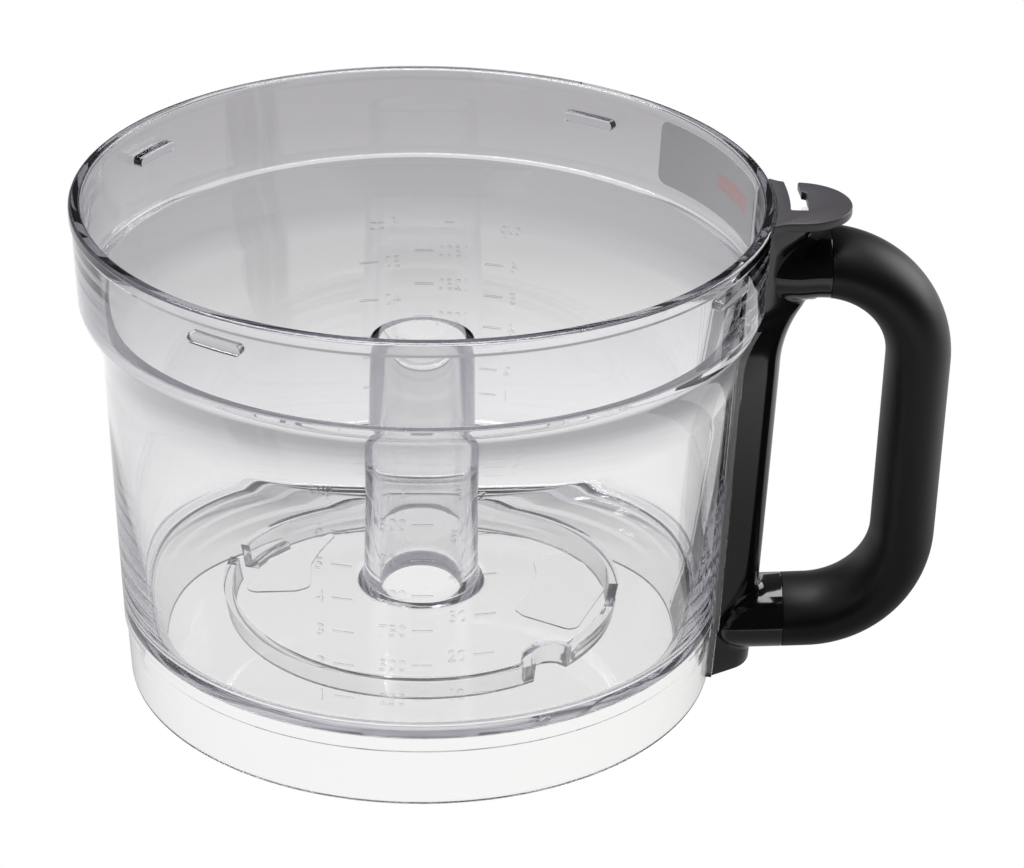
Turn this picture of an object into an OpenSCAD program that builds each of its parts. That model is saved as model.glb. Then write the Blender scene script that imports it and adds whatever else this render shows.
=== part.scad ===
// Clear food processor bowl with a black handle that carries the lid interlock.
// Millimetres, +Z up, origin at the centre of the skirt's resting face, handle towards +X.

/* [Bowl] */
// Outer radius of the rim bead
rim_r = 99; // [98.5:0.1:102]
// Height of the rim above the resting face
rim_z = 147.7; // [147:0.1:150]
// Height of the ledge that the lid sits on
ledge_z = 120.7; // [120:0.1:121]
// Outer radius of the wall just below the shoulder
wall_top_r = 90.6; // [90:0.1:91]
// Outer radius of the wall at its foot
wall_foot_r = 87.3; // [87:0.1:87.6]
// Outer radius of the skirt at the resting face
skirt_r = 85.7; // [85.4:0.1:86]
// Inner radius of the skirt, which fits over the base's collar
socket_r = 83; // [82.5:0.1:83.3]
// Thickness of the bowl's wall and floor
wall_t = 2.7; // [2.4:0.1:3]
// Height of the floor's upper face
floor_z = 24.2; // [24:0.1:26]

/* [Drive tube] */
// Height of the tube's open top
tube_z = 102.7; // [95:0.1:110]
// Radius of the bore that the drive shaft passes through
tube_bore_r = 12.3; // [11:0.1:13]
// Outer radius of the tube at its top
tube_top_r = 15; // [14.5:0.1:15.5]
// Outer radius of the tube at the floor
tube_foot_r = 17; // [16:0.1:18]

/* [Coupling ring] */
// Outer radius of the ring under the floor
ring_r = 59.1; // [58:0.1:60]
// Depth of the ring below the floor
ring_h = 8; // [6:0.5:8.5]
// Width of each bayonet gap
ring_gap = 9; // [7:0.5:11]

/* [Lid ribs] */
// Angle that one rib spans
rib_span = 8.5; // [6:0.5:12]
// How far a rib stands in from the collar
rib_depth = 2.5; // [1.5:0.1:3]
// Height of a rib
rib_h = 3.2; // [2.5:0.1:4]

/* [Measuring marks] */
// Rise in height for each 250 ml
mark_step = 11.05; // [10.8:0.05:11.4]
// How far a mark stands out from the wall
mark_t = 0.3; // [0.2:0.05:0.4]

/* [Handle] */
// Height of the grip's upper end
upper_z = 130.1; // [129.8:0.1:130.4]
// Height of the grip's lower end
lower_z = 17.1; // [16.9:0.1:17.5]
// Distance from the bowl's axis to the grip's centre line, at a height of 100
grip_x = 141.7; // [138:0.1:145]
// Radius of the grip's bends, on the centre line
bend_r = 28.9; // [26:0.1:31]
// Half thickness of the grip, in the handle's plane
grip_a = 9.3; // [9.1:0.1:9.5]
// Half width of the grip, across the handle's plane
grip_b = 15.2; // [14.8:0.1:15.6]

/* [Lock plate] */
// Thickness of the lock plate
plate_t = 2.5; // [2:0.1:2.7]
// Radius of the plate's nose
plate_nose_r = 15; // [14.5:0.1:15.5]
// Width of the slot that the lid's tongue turns into
slot_w = 3.7; // [3:0.1:3.9]

/* [Interlock] */
// Number of turns in the return spring
spring_turns = 8; // [6:1:9]
// Diameter of the spring's wire
wire_d = 0.6; // [0.5:0.05:0.7]
// Radius of the plunger's round lower end
pin_r = 1.6; // [1.5:0.05:1.65]

/* [Hidden] */
eps = 0.02;
fine_fn = 96;

// Bowl heights and radii
skirt_top_z = 17.6;
skirt_top_r = 86.7;
wall_foot_z = 18.4;
shoulder_low_z = 97;
shoulder_top_z = 121;
collar_r = 97.4;
collar_top_z = 143.6;
collar_top_r = 98.4;
bead_z = 144.6;
bead_round = 0.8;
ledge_in_r = 91.5;
ledge_out_r = 94.4;
rim_in_r = 95.5;
wall_in_top_r = wall_top_r - wall_t;
wall_in_foot_r = wall_foot_r - wall_t;
floor_under_z = floor_z - wall_t;
socket_top_z = 12;
socket_deep_r = 84;
floor_fillet = 4;
tube_fillet = 4;
tube_round = 0.6;
arc_steps = 8;

// An S-shaped step between two upright walls, as [radius, height] points from top to bottom.
// share is the upper, convex arc's part of the whole.
function s_step(r1, z1, r2, z2, share, n) =
    let (
        h = z1 - z2,
        d = r1 - r2,
        both = (h * h + d * d) / (2 * d),
        ra = both * share,
        rb = both - ra,
        turn = asin(h / both)
    )
    concat(
        [for (i = [0 : n]) let (a = turn * i / n) [r1 - ra + ra * cos(a), z1 - ra * sin(a)]],
        [for (i = [n - 1 : -1 : 0]) let (a = turn * i / n) [r2 + rb - rb * cos(a), z2 + rb * sin(a)]]
    );

// Points along an arc about a centre, from one angle to another
function arc(cx, cy, r, a0, a1, n) =
    [for (i = [0 : n]) let (a = a0 + (a1 - a0) * i / n) [cx + r * cos(a), cy + r * sin(a)]];

function reversed(list) = [for (i = [len(list) - 1 : -1 : 0]) list[i]];

shoulder_out = s_step(collar_r, shoulder_top_z, wall_top_r, shoulder_low_z, 0.17, arc_steps);
shoulder_in = s_step(ledge_in_r, ledge_z, wall_in_top_r, shoulder_low_z, 0.04, arc_steps);

// The bowl's outer line, from the resting face up to the rim
outer_line = concat(
    [[skirt_r - 0.6, 0], [skirt_r, 0.6], [skirt_top_r, skirt_top_z], [wall_foot_r, wall_foot_z]],
    reversed(shoulder_out),
    [[collar_top_r, collar_top_z], [rim_r, bead_z]],
    arc(rim_r - bead_round, rim_z - bead_round, bead_round, 0, 90, 4)
);

// The bowl's inner line, from the rim down to the floor and up over the drive tube
inner_line = concat(
    [[rim_in_r + 0.5, rim_z], [rim_in_r, rim_z - 0.5], [ledge_out_r, ledge_z]],
    shoulder_in,
    arc(wall_in_foot_r - floor_fillet, floor_z + floor_fillet, floor_fillet, 0, -90, 5),
    arc(tube_foot_r + tube_fillet, floor_z + tube_fillet, tube_fillet, -90, -180, 5),
    arc(tube_top_r - tube_round, tube_z - tube_round, tube_round, 0, 90, 4)
);

// Outer radius of the bowl at a height
function line_x(line, z, i = 0) =
    z <= line[i + 1][1] || i + 2 >= len(line)
        ? let (a = line[i], b = line[i + 1])
            a[0] + (b[0] - a[0]) * (z - a[1]) / max(b[1] - a[1], 0.001)
        : line_x(line, z, i + 1);
function bowl_r(z) = line_x(outer_line, min(max(z, 0.6), collar_top_z));

// Coupling ring
ring_t = 2.8;
ring_z = floor_under_z - ring_h;
gap_angles = [164.5, -5.5];
lug_starts = [141, -37];
lug_span = 22;
lug_t = 2;
lug_h = 3;
niche_angle = -48;
niche_r = 9.2;
niche_step = 0.3;
relief_t = 0.5;

// Ribs, marks and label
rib_z = 138;
rib_at = [60, 149.3, 237.3, 333];
rib_in_r = 94.6;
zero_z = 24.2;
cup_step = mark_step * 236.6 / 250;
ounce_step = mark_step * 284.1 / 250;
label_from = 10;
label_to = 44;
label_z = 135;
label_h = 19.8;
label_t = 0.25;
label_round = 3;

// Rails and bosses for the handle
rail_half = 15;
rail_w = 2.2;
rail_h = 1.8;
rail_z0 = 3;
rail_z1 = 116;
boss_r = 1.9;
screw_r = 1.1;
screw_len = 11;
screw_head_r = 1.9;
screw_head_h = 1.4;
low_boss = [90.4, 4.9];
low_boss_z = [4.2, 14];
high_boss = [100.2, 6.4];
high_boss_z = [130, 140.3];
pilot_gap = 0.05;

// Spine
fit_gap = 0.1;
nose_r = 10.7;
spine_depth = 11.8;
skin_t = 2;
flank_lap = 3;
nose_steps = 10;
spine_low_z = 0.8;
spine_top_z = rim_z - 0.4 - plate_t;
low_half = 14.4;
high_half = 16.5;
web_low_z = 4;
web_high_z = 140.5;
channel_x = 102.5;
channel_y = -5;
channel_z = 138;
pocket_z0 = 122.5;

// Grip centre line
seam_high_x = 115;
seam_low_x = 106.5;
slope_high = 4.23;
slope_low = 3.72;
lean = 1.146;
ref_low_x = 110;
mid_z = 100;
oval_n = 36;
sleeve_t = 1.6;
core_gap = 0.05;
socket_wall = 2;
tenon_gap = 0.1;
tenon_high = 4.6;
tenon_low = 6.4;
bar_lap = 1;
bar_step = 0.03;

function meet_x(x0, z0, slope) =
    let (t = tan(lean)) (grip_x + (z0 - x0 * tan(slope) - mid_z) * t) / (1 - t * tan(slope));
corner_high_x = meet_x(seam_high_x, upper_z, slope_high);
corner_high_z = upper_z + (corner_high_x - seam_high_x) * tan(slope_high);
corner_low_x = meet_x(ref_low_x, lower_z, slope_low);
corner_low_z = lower_z + (corner_low_x - ref_low_x) * tan(slope_low);
turn_high = 90 + lean + slope_high;
turn_low = 90 - lean - slope_low;
run_high = bend_r * tan(turn_high / 2);
run_low = bend_r * tan(turn_low / 2);
start_high = [corner_high_x - run_high * cos(slope_high), corner_high_z - run_high * sin(slope_high)];
start_low = [corner_low_x - run_low * cos(slope_low), corner_low_z - run_low * sin(slope_low)];
centre_high = [start_high[0] + bend_r * sin(slope_high), start_high[1] - bend_r * cos(slope_high)];
centre_low = [start_low[0] - bend_r * sin(slope_low), start_low[1] + bend_r * cos(slope_low)];

// Height of the centre line at a distance x, near the upper and the lower socket
function high_c(x) =
    x < start_high[0]
        ? start_high[1] + (x - start_high[0]) * tan(slope_high)
        : centre_high[1] + sqrt(bend_r * bend_r - (x - centre_high[0]) * (x - centre_high[0]));
function low_c(x) = lower_z + (x - ref_low_x) * tan(slope_low);
seam_tilt = -asin((seam_high_x - centre_high[0]) / bend_r);

// Lock plate
plate_nose_x = 105.4;
plate_half = 19;
plate_gap = 0.15;
slot_r = 103;
slot_notch_r = 107.9;
slot_notch_y = 7.6;
slot_end_y = -5;
peg_r = 0.9;
peg_len = 3.2;
pegs = [[101.5, -9.2], [99.7, 12]];

// Interlock
rod_y = -2.5;
rod_w = 4.2;
rod_t = 2.6;
pin_x = 91.6;
pin_z0 = 1.6;
pin_z1 = 60;
arm_x = 108.6;
cam_x = 106.2;
cam_top_z = 146.2;
guide_r = 3;
guide_top_z = 13.5;
guide_flange_r = 3.4;
guide_gap = 0.06;
clip_z = 39;
clip_t = 0.5;
clip_r = 2.8;
groove_r = 1.1;
coil_r = 2.4;

// Half width of the spine where it meets the bowl
function half_w(z) =
    let (u = min(max((z - shoulder_low_z) / (shoulder_top_z - shoulder_low_z), 0), 1))
    low_half + (high_half - low_half) * u;

// The spine's section at a height: [nose centre x, nose radius, foot x, foot y, tangent angle]
function section(z, inset) =
    let (
        r = bowl_r(z) + fit_gap,
        cx = bowl_r(z) + spine_depth - nose_r,
        nr = nose_r - inset,
        fy = half_w(z) - 1.3 * inset,
        fx = sqrt(r * r - fy * fy),
        d = norm([fx - cx, fy])
    )
    [cx, nr, fx, fy, atan2(fy, fx - cx) - acos(nr / d)];

// One closed level of the spine. Its flanks run on past the bowl's wall.
function level(z, inset) =
    let (
        s = section(z, inset),
        t = [s[0] + s[1] * cos(s[4]), s[1] * sin(s[4])],
        run = 1 + flank_lap / norm([s[2] - t[0], s[3] - t[1]]),
        f = [t[0] + (s[2] - t[0]) * run, t[1] + (s[3] - t[1]) * run]
    )
    [for (p = concat(
        [[f[0], -f[1]]],
        [for (i = [0 : nose_steps])
            let (a = s[4] * (2 * i / nose_steps - 1)) [s[0] + s[1] * cos(a), s[1] * sin(a)]],
        [f]
    )) [p[0], p[1], z]];

// How far out the spine's surface is at a width and height
function surface_x(y, z) =
    let (
        s = section(z, 0),
        w = min(abs(y), s[3]),
        ty = s[1] * sin(s[4]),
        tx = s[0] + s[1] * cos(s[4])
    )
    w <= ty ? s[0] + sqrt(s[1] * s[1] - w * w) : tx + (s[2] - tx) * (w - ty) / (s[3] - ty);

// One ring of a socket. u runs from 0, where the blend starts, to 1, on the spine's surface.
function socket_ring(u, zc, narrow, flare, sink) =
    [for (i = [0 : oval_n - 1])
        let (
            a = 360 * i / oval_n,
            y = (grip_b - narrow * u * u * (3 - 2 * u)) * cos(a),
            z = zc + (grip_a + flare * (1 - cos(90 * u))) * sin(a),
            x = surface_x(y, z) - sink + (3 + 5 * cos(a) * cos(a)) * (1 - sin(90 * u))
        )
        [x, y, z]];

function flat_ring(x, zc, dy, dz) =
    [for (i = [0 : oval_n - 1])
        let (a = 360 * i / oval_n)
        [x, (grip_b - dy) * cos(a), zc + (grip_a - dz) * sin(a)]];

// A closed solid through a stack of outlines that have the same number of points
module loft(levels) {
    n = len(levels[0]);
    m = len(levels);
    polyhedron(
        points = [for (l = levels, p = l) p],
        faces = concat(
            [[for (i = [0 : n - 1]) i]],
            [for (k = [0 : m - 2], i = [0 : n - 1])
                [k * n + i, (k + 1) * n + i, (k + 1) * n + (i + 1) % n]],
            [for (k = [0 : m - 2], i = [0 : n - 1])
                [k * n + i, (k + 1) * n + (i + 1) % n, k * n + (i + 1) % n]],
            [[for (i = [n - 1 : -1 : 0]) (m - 1) * n + i]]
        ),
        convexity = 8
    );
}

module oval(inset) {
    polygon([for (i = [0 : oval_n - 1])
        let (a = 360 * i / oval_n) [(grip_a - inset) * cos(a), (grip_b - inset) * sin(a)]]);
}

// A straight oval bar through a point in the handle's plane, from one distance along it to another
module oval_bar(at, heading, from, to, inset) {
    translate([at[0], 0, at[1]])
        rotate([0, 90 - heading, 0])
            translate([0, 0, from])
                linear_extrude(to - from)
                    oval(inset);
}

// The plain ends of the grip's core, from inside the sockets to just past the seams
module tenons(extra, inset) {
    oval_bar([seam_high_x, high_c(seam_high_x)], seam_tilt, -tenon_high - extra, 2, inset);
    oval_bar([seam_low_x, low_c(seam_low_x)], slope_low, -tenon_low - extra, 2, inset);
}

module oval_bend(at, from, turn, inset) {
    translate([at[0], 0, at[1]])
        rotate([90, 0, 0])
            rotate([0, 0, from])
                rotate_extrude(angle = turn, $fn = fine_fn)
                    translate([bend_r, 0])
                        oval(inset);
}

// The whole grip, with its ends cut square at the two seams
module grip_solid(inset, trim) {
    difference() {
        union() {
            oval_bend(centre_high, -lean, turn_high, inset);
            oval_bend(centre_low, slope_low - 90, turn_low, inset);
            oval_bar(
                [centre_low[0] + bend_r * cos(lean), centre_low[1] - bend_r * sin(lean)],
                90 - lean,
                -bar_lap,
                norm(centre_high - centre_low) + bar_lap,
                inset + bar_step
            );
            oval_bar(start_low, slope_low, seam_low_x - start_low[0] - 2, bar_lap, inset + bar_step);
        }
        translate([seam_high_x - 40, -30, mid_z])
            cube([40 + trim, 60, 60]);
        translate([seam_low_x - 40, -30, -20])
            cube([40 + trim, 60, 60]);
    }
}

module bowl_shell_solid() {
    rotate_extrude($fn = fine_fn)
        polygon(concat(
            outer_line,
            inner_line,
            [[tube_bore_r, tube_z], [tube_bore_r, floor_under_z], [socket_deep_r, floor_under_z]],
            [[socket_r, socket_top_z], [socket_r, 0]]
        ));
}

module coupling_ring() {
    difference() {
        union() {
            difference() {
                translate([0, 0, ring_z])
                    cylinder(r = ring_r, h = ring_h + eps, $fn = fine_fn);
                translate([0, 0, ring_z - 1])
                    cylinder(r = ring_r - ring_t, h = ring_h + 2, $fn = fine_fn);
            }
            for (a = lug_starts)
                rotate([0, 0, a])
                    rotate_extrude(angle = lug_span, $fn = fine_fn)
                        translate([ring_r - ring_t - lug_t, ring_z])
                            square([lug_t + 0.5, lug_h]);
            intersection() {
                rotate([0, 0, niche_angle])
                    translate([ring_r, 0, ring_z + niche_step])
                        cylinder(r = niche_r, h = ring_h, $fn = 64);
                translate([0, 0, ring_z])
                    cylinder(r = ring_r - 0.8, h = ring_h + eps, $fn = fine_fn);
            }
        }
        rotate([0, 0, niche_angle])
            translate([ring_r, 0, ring_z - 1])
                cylinder(r = niche_r - ring_t, h = ring_h + 1, $fn = 64);
        for (a = gap_angles)
            rotate([0, 0, a])
                translate([ring_r - 8, -ring_gap / 2, ring_z - 1])
                    cube([12, ring_gap, ring_h + 1]);
    }
}

module floor_reliefs() {
    translate([0, 0, floor_under_z - relief_t])
        linear_extrude(relief_t + eps)
            polygon([
                [-46, 11.2], [-28.5, 30.6], [-27.3, 29.2], [-31.1, 18.1], [-33.2, 9.1],
                [-32.6, -5.7], [-36.6, -8.5], [-52.8, -10.8]
            ]);
    translate([0, 0, floor_under_z - relief_t])
        linear_extrude(relief_t + eps)
            polygon([
                [41.8, 19.5], [48.6, 12.3], [54.8, -4.5], [45.8, -29.4], [30.6, -20.6],
                [27.7, -16.6], [31.7, -8.9], [34.2, 5.6], [33.1, 15.2]
            ]);
}

module lid_rib() {
    rotate([0, 0, -rib_span / 2])
        rotate_extrude(angle = rib_span, $fn = fine_fn)
            translate([rib_in_r + 0.8 - rib_depth - 0.5, rib_z - rib_h / 2])
                square([rib_depth + 0.5, rib_h]);
    for (s = [-1, 1])
        rotate([0, 0, s * rib_span / 2])
            translate([rib_in_r + 0.4 - rib_depth, 0, rib_z])
                rotate([0, 90, 0])
                    rotate([0, 0, s * 70])
                        cylinder(r = rib_h / 2 - 0.1, h = rib_depth + 0.5, $fn = 32);
}

module mark(z, angle, w) {
    rotate([0, 0, angle])
        translate([bowl_r(z) - 0.5, -w / 2, z - 0.4])
            cube([0.5 + mark_t, w, 0.8]);
}

module measuring_marks() {
    for (side = [-87.7, 91.9]) {
        for (i = [1 : 6]) {
            mark(zero_z + mark_step * i, side, 6);
            mark(zero_z + cup_step * i, side - 14, 6);
        }
        for (i = [1 : 5])
            mark(zero_z + ounce_step * i, side + 11, 6);
    }
}

// Rails on both sides of the spine, which it slides between
module handle_rails() {
    zs = [rail_z0, skirt_top_z, wall_foot_z, 58, 97, 101, 105, 108, 110.5, 113, rail_z1];
    profile = concat(
        [for (z = zs) [bowl_r(z) - 0.8, z]],
        [for (z = reversed(zs)) [bowl_r(z) + rail_h, z]]
    );
    for (s = [0, 1])
        mirror([0, s, 0])
            rotate([0, 0, asin((rail_half + 0.9) / wall_top_r)])
                rotate_extrude(angle = asin(rail_w / wall_top_r), $fn = fine_fn)
                    polygon(profile);
}

module handle_boss(at, z) {
    difference() {
        union() {
            translate([at[0], at[1], z[0]])
                cylinder(r = boss_r, h = z[1] - z[0], $fn = 32);
            translate([bowl_r(z[0]) - 1.2, at[1] - 1.2, z[0]])
                cube([at[0] - bowl_r(z[0]) + 1.2, 2.4, z[1] - z[0]]);
        }
        translate([at[0], at[1], z[0] - 1])
            cylinder(r = screw_r + pilot_gap, h = z[1] - z[0] + 2, $fn = 32);
    }
}

module bowl() {
    color([0.8, 0.82, 0.86, 0.45])
        union() {
            bowl_shell_solid();
            coupling_ring();
            floor_reliefs();
            for (angle = rib_at)
                rotate([0, 0, angle])
                    lid_rib();
            measuring_marks();
            handle_rails();
            handle_boss(low_boss, low_boss_z);
            handle_boss(high_boss, high_boss_z);
        }
}

module blank_label() {
    w = 2 * rim_in_r * sin((label_to - label_from) / 2);
    color([0.62, 0.62, 0.65, 0.7])
        intersection() {
            rotate([0, 0, label_from - 2])
                rotate_extrude(angle = label_to - label_from + 4, $fn = fine_fn)
                    polygon([
                        [label_r(label_z - label_h / 2 - 1), label_z - label_h / 2 - 1],
                        [label_r(label_z - label_h / 2 - 1) - label_t, label_z - label_h / 2 - 1],
                        [label_r(label_z + label_h / 2 + 1) - label_t, label_z + label_h / 2 + 1],
                        [label_r(label_z + label_h / 2 + 1), label_z + label_h / 2 + 1]
                    ]);
            rotate([0, 0, (label_from + label_to) / 2])
                translate([80, 0, label_z])
                    rotate([90, 0, 90])
                        rounded_block(w, label_h, 25, label_round);
        }
}

function label_r(z) = ledge_out_r + (rim_in_r - ledge_out_r) * (z - ledge_z) / (rim_z - 0.5 - ledge_z) - eps;

module rounded_block(w, h, d, r) {
    translate([-w / 2 + r, -h / 2, 0])
        cube([w - 2 * r, h, d]);
    translate([-w / 2, -h / 2 + r, 0])
        cube([w, h - 2 * r, d]);
    for (x = [-1, 1], y = [-1, 1])
        translate([x * (w / 2 - r), y * (h / 2 - r), 0])
            cylinder(r = r, h = d, $fn = 32);
}

spine_zs = [
    spine_low_z, skirt_top_z, wall_foot_z, 58, 97, 100, 103, 106, 108.5, 111, 113.5, 116, 118,
    119.5, 121, 124, spine_top_z
];
cavity_zs = [
    web_low_z, skirt_top_z, wall_foot_z, 58, 97, 100, 103, 106, 108.5, 111, 113.5, 116, 118,
    119.5, 121, 124, web_high_z
];

module upper_socket() {
    c = high_c(103);
    loft(concat(
        [[for (p = socket_ring(1, c, 0.8, 2.2, 1)) [97.2, p[1], p[2]]]],
        [socket_ring(1, c, 0.8, 2.2, 0.3)],
        [for (u = [0.85, 0.7, 0.5, 0.25, 0]) socket_ring(u, c, 0.8, 2.2, 0)],
        [for (x = [111.5, 113.2, seam_high_x]) flat_ring(x, high_c(x), 0, 0)]
    ));
}

module lower_socket() {
    c = low_c(98);
    loft(concat(
        [[for (p = socket_ring(1, c, 2.4, 2.6, 1)) [88.6, p[1], p[2]]]],
        [socket_ring(1, c, 2.4, 2.6, 0.3)],
        [for (u = [0.85, 0.7, 0.5, 0.25, 0]) socket_ring(u, c, 2.4, 2.6, 0)],
        [flat_ring(seam_low_x, low_c(seam_low_x), 0, 0)]
    ));
}

// Room that the bowl's shell takes, with a small gap all round
module bowl_room() {
    rotate_extrude($fn = fine_fn)
        polygon(concat(
            [[60, -5], [skirt_r + fit_gap, -5], [skirt_r + fit_gap, 0.6]],
            [[skirt_top_r + fit_gap, skirt_top_z], [wall_foot_r + fit_gap, wall_foot_z]],
            [for (p = reversed(shoulder_out)) [p[0] + fit_gap, p[1]]],
            [[collar_top_r + fit_gap, collar_top_z - 0.1], [rim_r + fit_gap, bead_z - 0.1]],
            [[rim_r + fit_gap, 160], [60, 160]]
        ));
}

// A screw along +Z with the underside of its head at the origin
module screw() {
    translate([0, 0, -eps])
        cylinder(r = screw_r, h = screw_len + eps, $fn = 32);
    difference() {
        translate([0, 0, -screw_head_h])
            cylinder(r = screw_head_r, h = screw_head_h, $fn = 32);
        translate([0, 0, -screw_head_h - 1])
            cylinder(r = 1.1, h = 1.9, $fn = 6);
    }
}

high_screw_z = web_high_z + 1.1;
low_screw_z = spine_low_z + screw_head_h + 0.2;
high_grip_screw = [105.6, 6, high_c(105.6)];
low_grip_screw = [94.9, 5, low_c(94.9)];

module at_screws() {
    translate([high_boss[0], high_boss[1], high_screw_z])
        rotate([180, 0, 0])
            children();
    translate([low_boss[0], low_boss[1], low_screw_z])
        children();
    translate(high_grip_screw)
        rotate([0, 90, 0])
            children();
    translate(low_grip_screw)
        rotate([0, 90, 0])
            children();
}

module screw_room(access = 3) {
    translate([0, 0, -1])
        cylinder(r = screw_r + pilot_gap, h = screw_len + 1.5, $fn = 32);
    translate([0, 0, -access])
        cylinder(r = screw_head_r + 0.1, h = access, $fn = 32);
}

module handle_spine() {
    color([0.03, 0.03, 0.035])
        difference() {
            union() {
                loft([for (z = spine_zs) level(z, 0)]);
                upper_socket();
                lower_socket();
            }
            loft([for (z = cavity_zs) level(z, skin_t)]);
            bowl_room();
            tenons(0.3, socket_wall);
            translate([channel_x, channel_y, channel_z])
                cube([30, 40, 20]);
            translate([98, rod_y - rod_w / 2 - 0.4, pocket_z0])
                cube([arm_x + 0.3 - 98, rod_w + 0.8, channel_z - 1.7 - pocket_z0]);
            translate([cam_x - 0.3, rod_y - rod_w / 2 - 0.4, pocket_z0])
                cube([arm_x - cam_x + 0.6, rod_w + 0.8, 30]);
            translate([pin_x, rod_y, -1])
                cylinder(r = guide_r + pilot_gap, h = 8, $fn = 32);
            at_screws()
                screw_room();
            for (p = pegs)
                translate([p[0], p[1], spine_top_z - peg_len - 0.3])
                    cylinder(r = peg_r + pilot_gap, h = 10, $fn = 32);
        }
}

module plate_outline() {
    side = [[104, -15.05], [102, -15.3], [100.2, -15.9], [98.6, -16.9], [97.3, -18.1], [96.3, -19]];
    polygon(concat(
        [[88, -plate_half]],
        reversed(side),
        arc(plate_nose_x, 0, plate_nose_r, -90, 90, 24),
        [for (p = side) [p[0], -p[1]]],
        [[88, plate_half]]
    ));
}

module ring_sector(r1, r2, y0, y1, z, h) {
    intersection() {
        difference() {
            translate([0, 0, z])
                cylinder(r = r2, h = h, $fn = fine_fn);
            translate([0, 0, z - 1])
                cylinder(r = r1, h = h + 2, $fn = fine_fn);
        }
        translate([80, y0, z - 1])
            cube([40, y1 - y0, h + 2]);
    }
}

module lock_plate() {
    color([0.3, 0.29, 0.31])
        difference() {
            union() {
                translate([0, 0, spine_top_z])
                    linear_extrude(plate_t)
                        plate_outline();
                for (p = pegs)
                    translate([p[0], p[1], spine_top_z - peg_len])
                        cylinder(r = peg_r, h = peg_len + 1, $fn = 32);
            }
            translate([0, 0, 100])
                cylinder(r = rim_r + plate_gap, h = 60, $fn = fine_fn);
            ring_sector(slot_r, slot_r + slot_w, slot_end_y, 30, spine_top_z - 1, plate_t + 2);
            ring_sector(slot_r, slot_notch_r, slot_end_y, slot_notch_y, spine_top_z - 1, plate_t + 2);
            translate([cam_x - 0.3, slot_end_y - eps, spine_top_z - 1])
                cube([arm_x - cam_x + 0.6, 5.3, plate_t - 0.7 + 1]);
        }
}

module grip_core() {
    color([0.12, 0.12, 0.12])
        difference() {
            union() {
                grip_solid(sleeve_t + core_gap, core_gap);
                tenons(0, socket_wall + tenon_gap);
            }
            for (p = [high_grip_screw, low_grip_screw])
                translate([p[0], p[1], p[2]])
                    rotate([0, 90, 0])
                        cylinder(r = screw_r + pilot_gap, h = screw_len + 0.5, $fn = 32);
        }
}

module grip_sleeve() {
    color([0.06, 0.06, 0.065])
        difference() {
            grip_solid(0, core_gap);
            grip_solid(sleeve_t, -1);
        }
}

module handle_screws() {
    color([0.7, 0.71, 0.72])
        at_screws()
            screw();
}

module rod_guide() {
    color([0.85, 0.85, 0.82])
        difference() {
            union() {
                translate([pin_x, rod_y, spine_low_z])
                    cylinder(r = guide_r, h = guide_top_z - spine_low_z, $fn = 32);
                translate([pin_x, rod_y, web_low_z])
                    cylinder(r = guide_flange_r, h = 1, $fn = 32);
            }
            translate([pin_x, rod_y, -1])
                cylinder(r = pin_r + guide_gap, h = guide_top_z + 2, $fn = 32);
        }
}

// The plunger's flat upper part, cranked to follow the bowl's shoulder
rod_inner = [[91.2, 52], [91.2, 97], [93.6, 107], [96.4, 113.5], [98.8, 119], [99.6, 123], [99.7, 133]];

module pushrod() {
    color([0.78, 0.78, 0.76])
        difference() {
            union() {
                translate([pin_x, rod_y, pin_z0])
                    cylinder(r = pin_r, h = pin_z1 - pin_z0, $fn = 32);
                translate([0, rod_y + rod_w / 2, 0])
                    rotate([90, 0, 0])
                        linear_extrude(rod_w)
                            polygon(concat(rod_inner, [for (p = reversed(rod_inner)) [p[0] + rod_t, p[1]]]));
            }
            difference() {
                translate([pin_x, rod_y, clip_z - 0.05])
                    cylinder(r = pin_r + 1, h = clip_t + 0.1, $fn = 32);
                translate([pin_x, rod_y, clip_z - 1])
                    cylinder(r = groove_r, h = clip_t + 2, $fn = 32);
            }
        }
}

// Cap on the plunger's upper end, with the cam that the lid's tongue presses down
module actuator() {
    w = rod_w - 0.2;
    color([0.82, 0.82, 0.8])
        difference() {
            translate([0, rod_y + w / 2, 0])
                rotate([90, 0, 0])
                    linear_extrude(w)
                        polygon([
                            [98.4, 128.5], [103.6, 128.5], [arm_x, 131.5], [arm_x, cam_top_z],
                            [cam_x, cam_top_z], [cam_x, 136], [98.4, 136]
                        ]);
            translate([99.7 - 0.05, rod_y - 5, 128])
                cube([rod_t + 0.1, 10, 5.05]);
            translate([cam_x - 1, rod_y + w / 2, cam_top_z - 3])
                rotate([0, 90, 0])
                    rotate([0, 0, -40])
                        translate([-6, 0, 0])
                            cube([6, 6, 6]);
        }
}

module spring_clip() {
    color([0.6, 0.61, 0.63])
        translate([pin_x, rod_y, clip_z])
            difference() {
                cylinder(r = clip_r, h = clip_t, $fn = 32);
                translate([0, 0, -1])
                    cylinder(r = groove_r + 0.03, h = clip_t + 2, $fn = 32);
                translate([0, -0.85, -1])
                    cube([5, 1.7, clip_t + 2]);
            }
}

spring_z0 = guide_top_z + wire_d / 2 + 0.05;
spring_z1 = clip_z - wire_d / 2 - 0.05;
wire_n = 8;
turn_n = 18;

module return_spring() {
    steps = spring_turns * turn_n;
    color([0.72, 0.73, 0.75])
        translate([pin_x, rod_y, 0])
            loft([for (k = [0 : steps])
                let (
                    a = 360 * k / turn_n,
                    z = spring_z0 + (spring_z1 - spring_z0) * k / steps
                )
                [for (j = [0 : wire_n - 1])
                    let (b = -360 * j / wire_n, q = coil_r + wire_d / 2 * cos(b))
                    [q * cos(a), q * sin(a), z + wire_d / 2 * sin(b)]]]);
}

bowl();
blank_label();
handle_spine();
lock_plate();
grip_core();
grip_sleeve();
handle_screws();
actuator();
pushrod();
spring_clip();
return_spring();
rod_guide();
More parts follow.
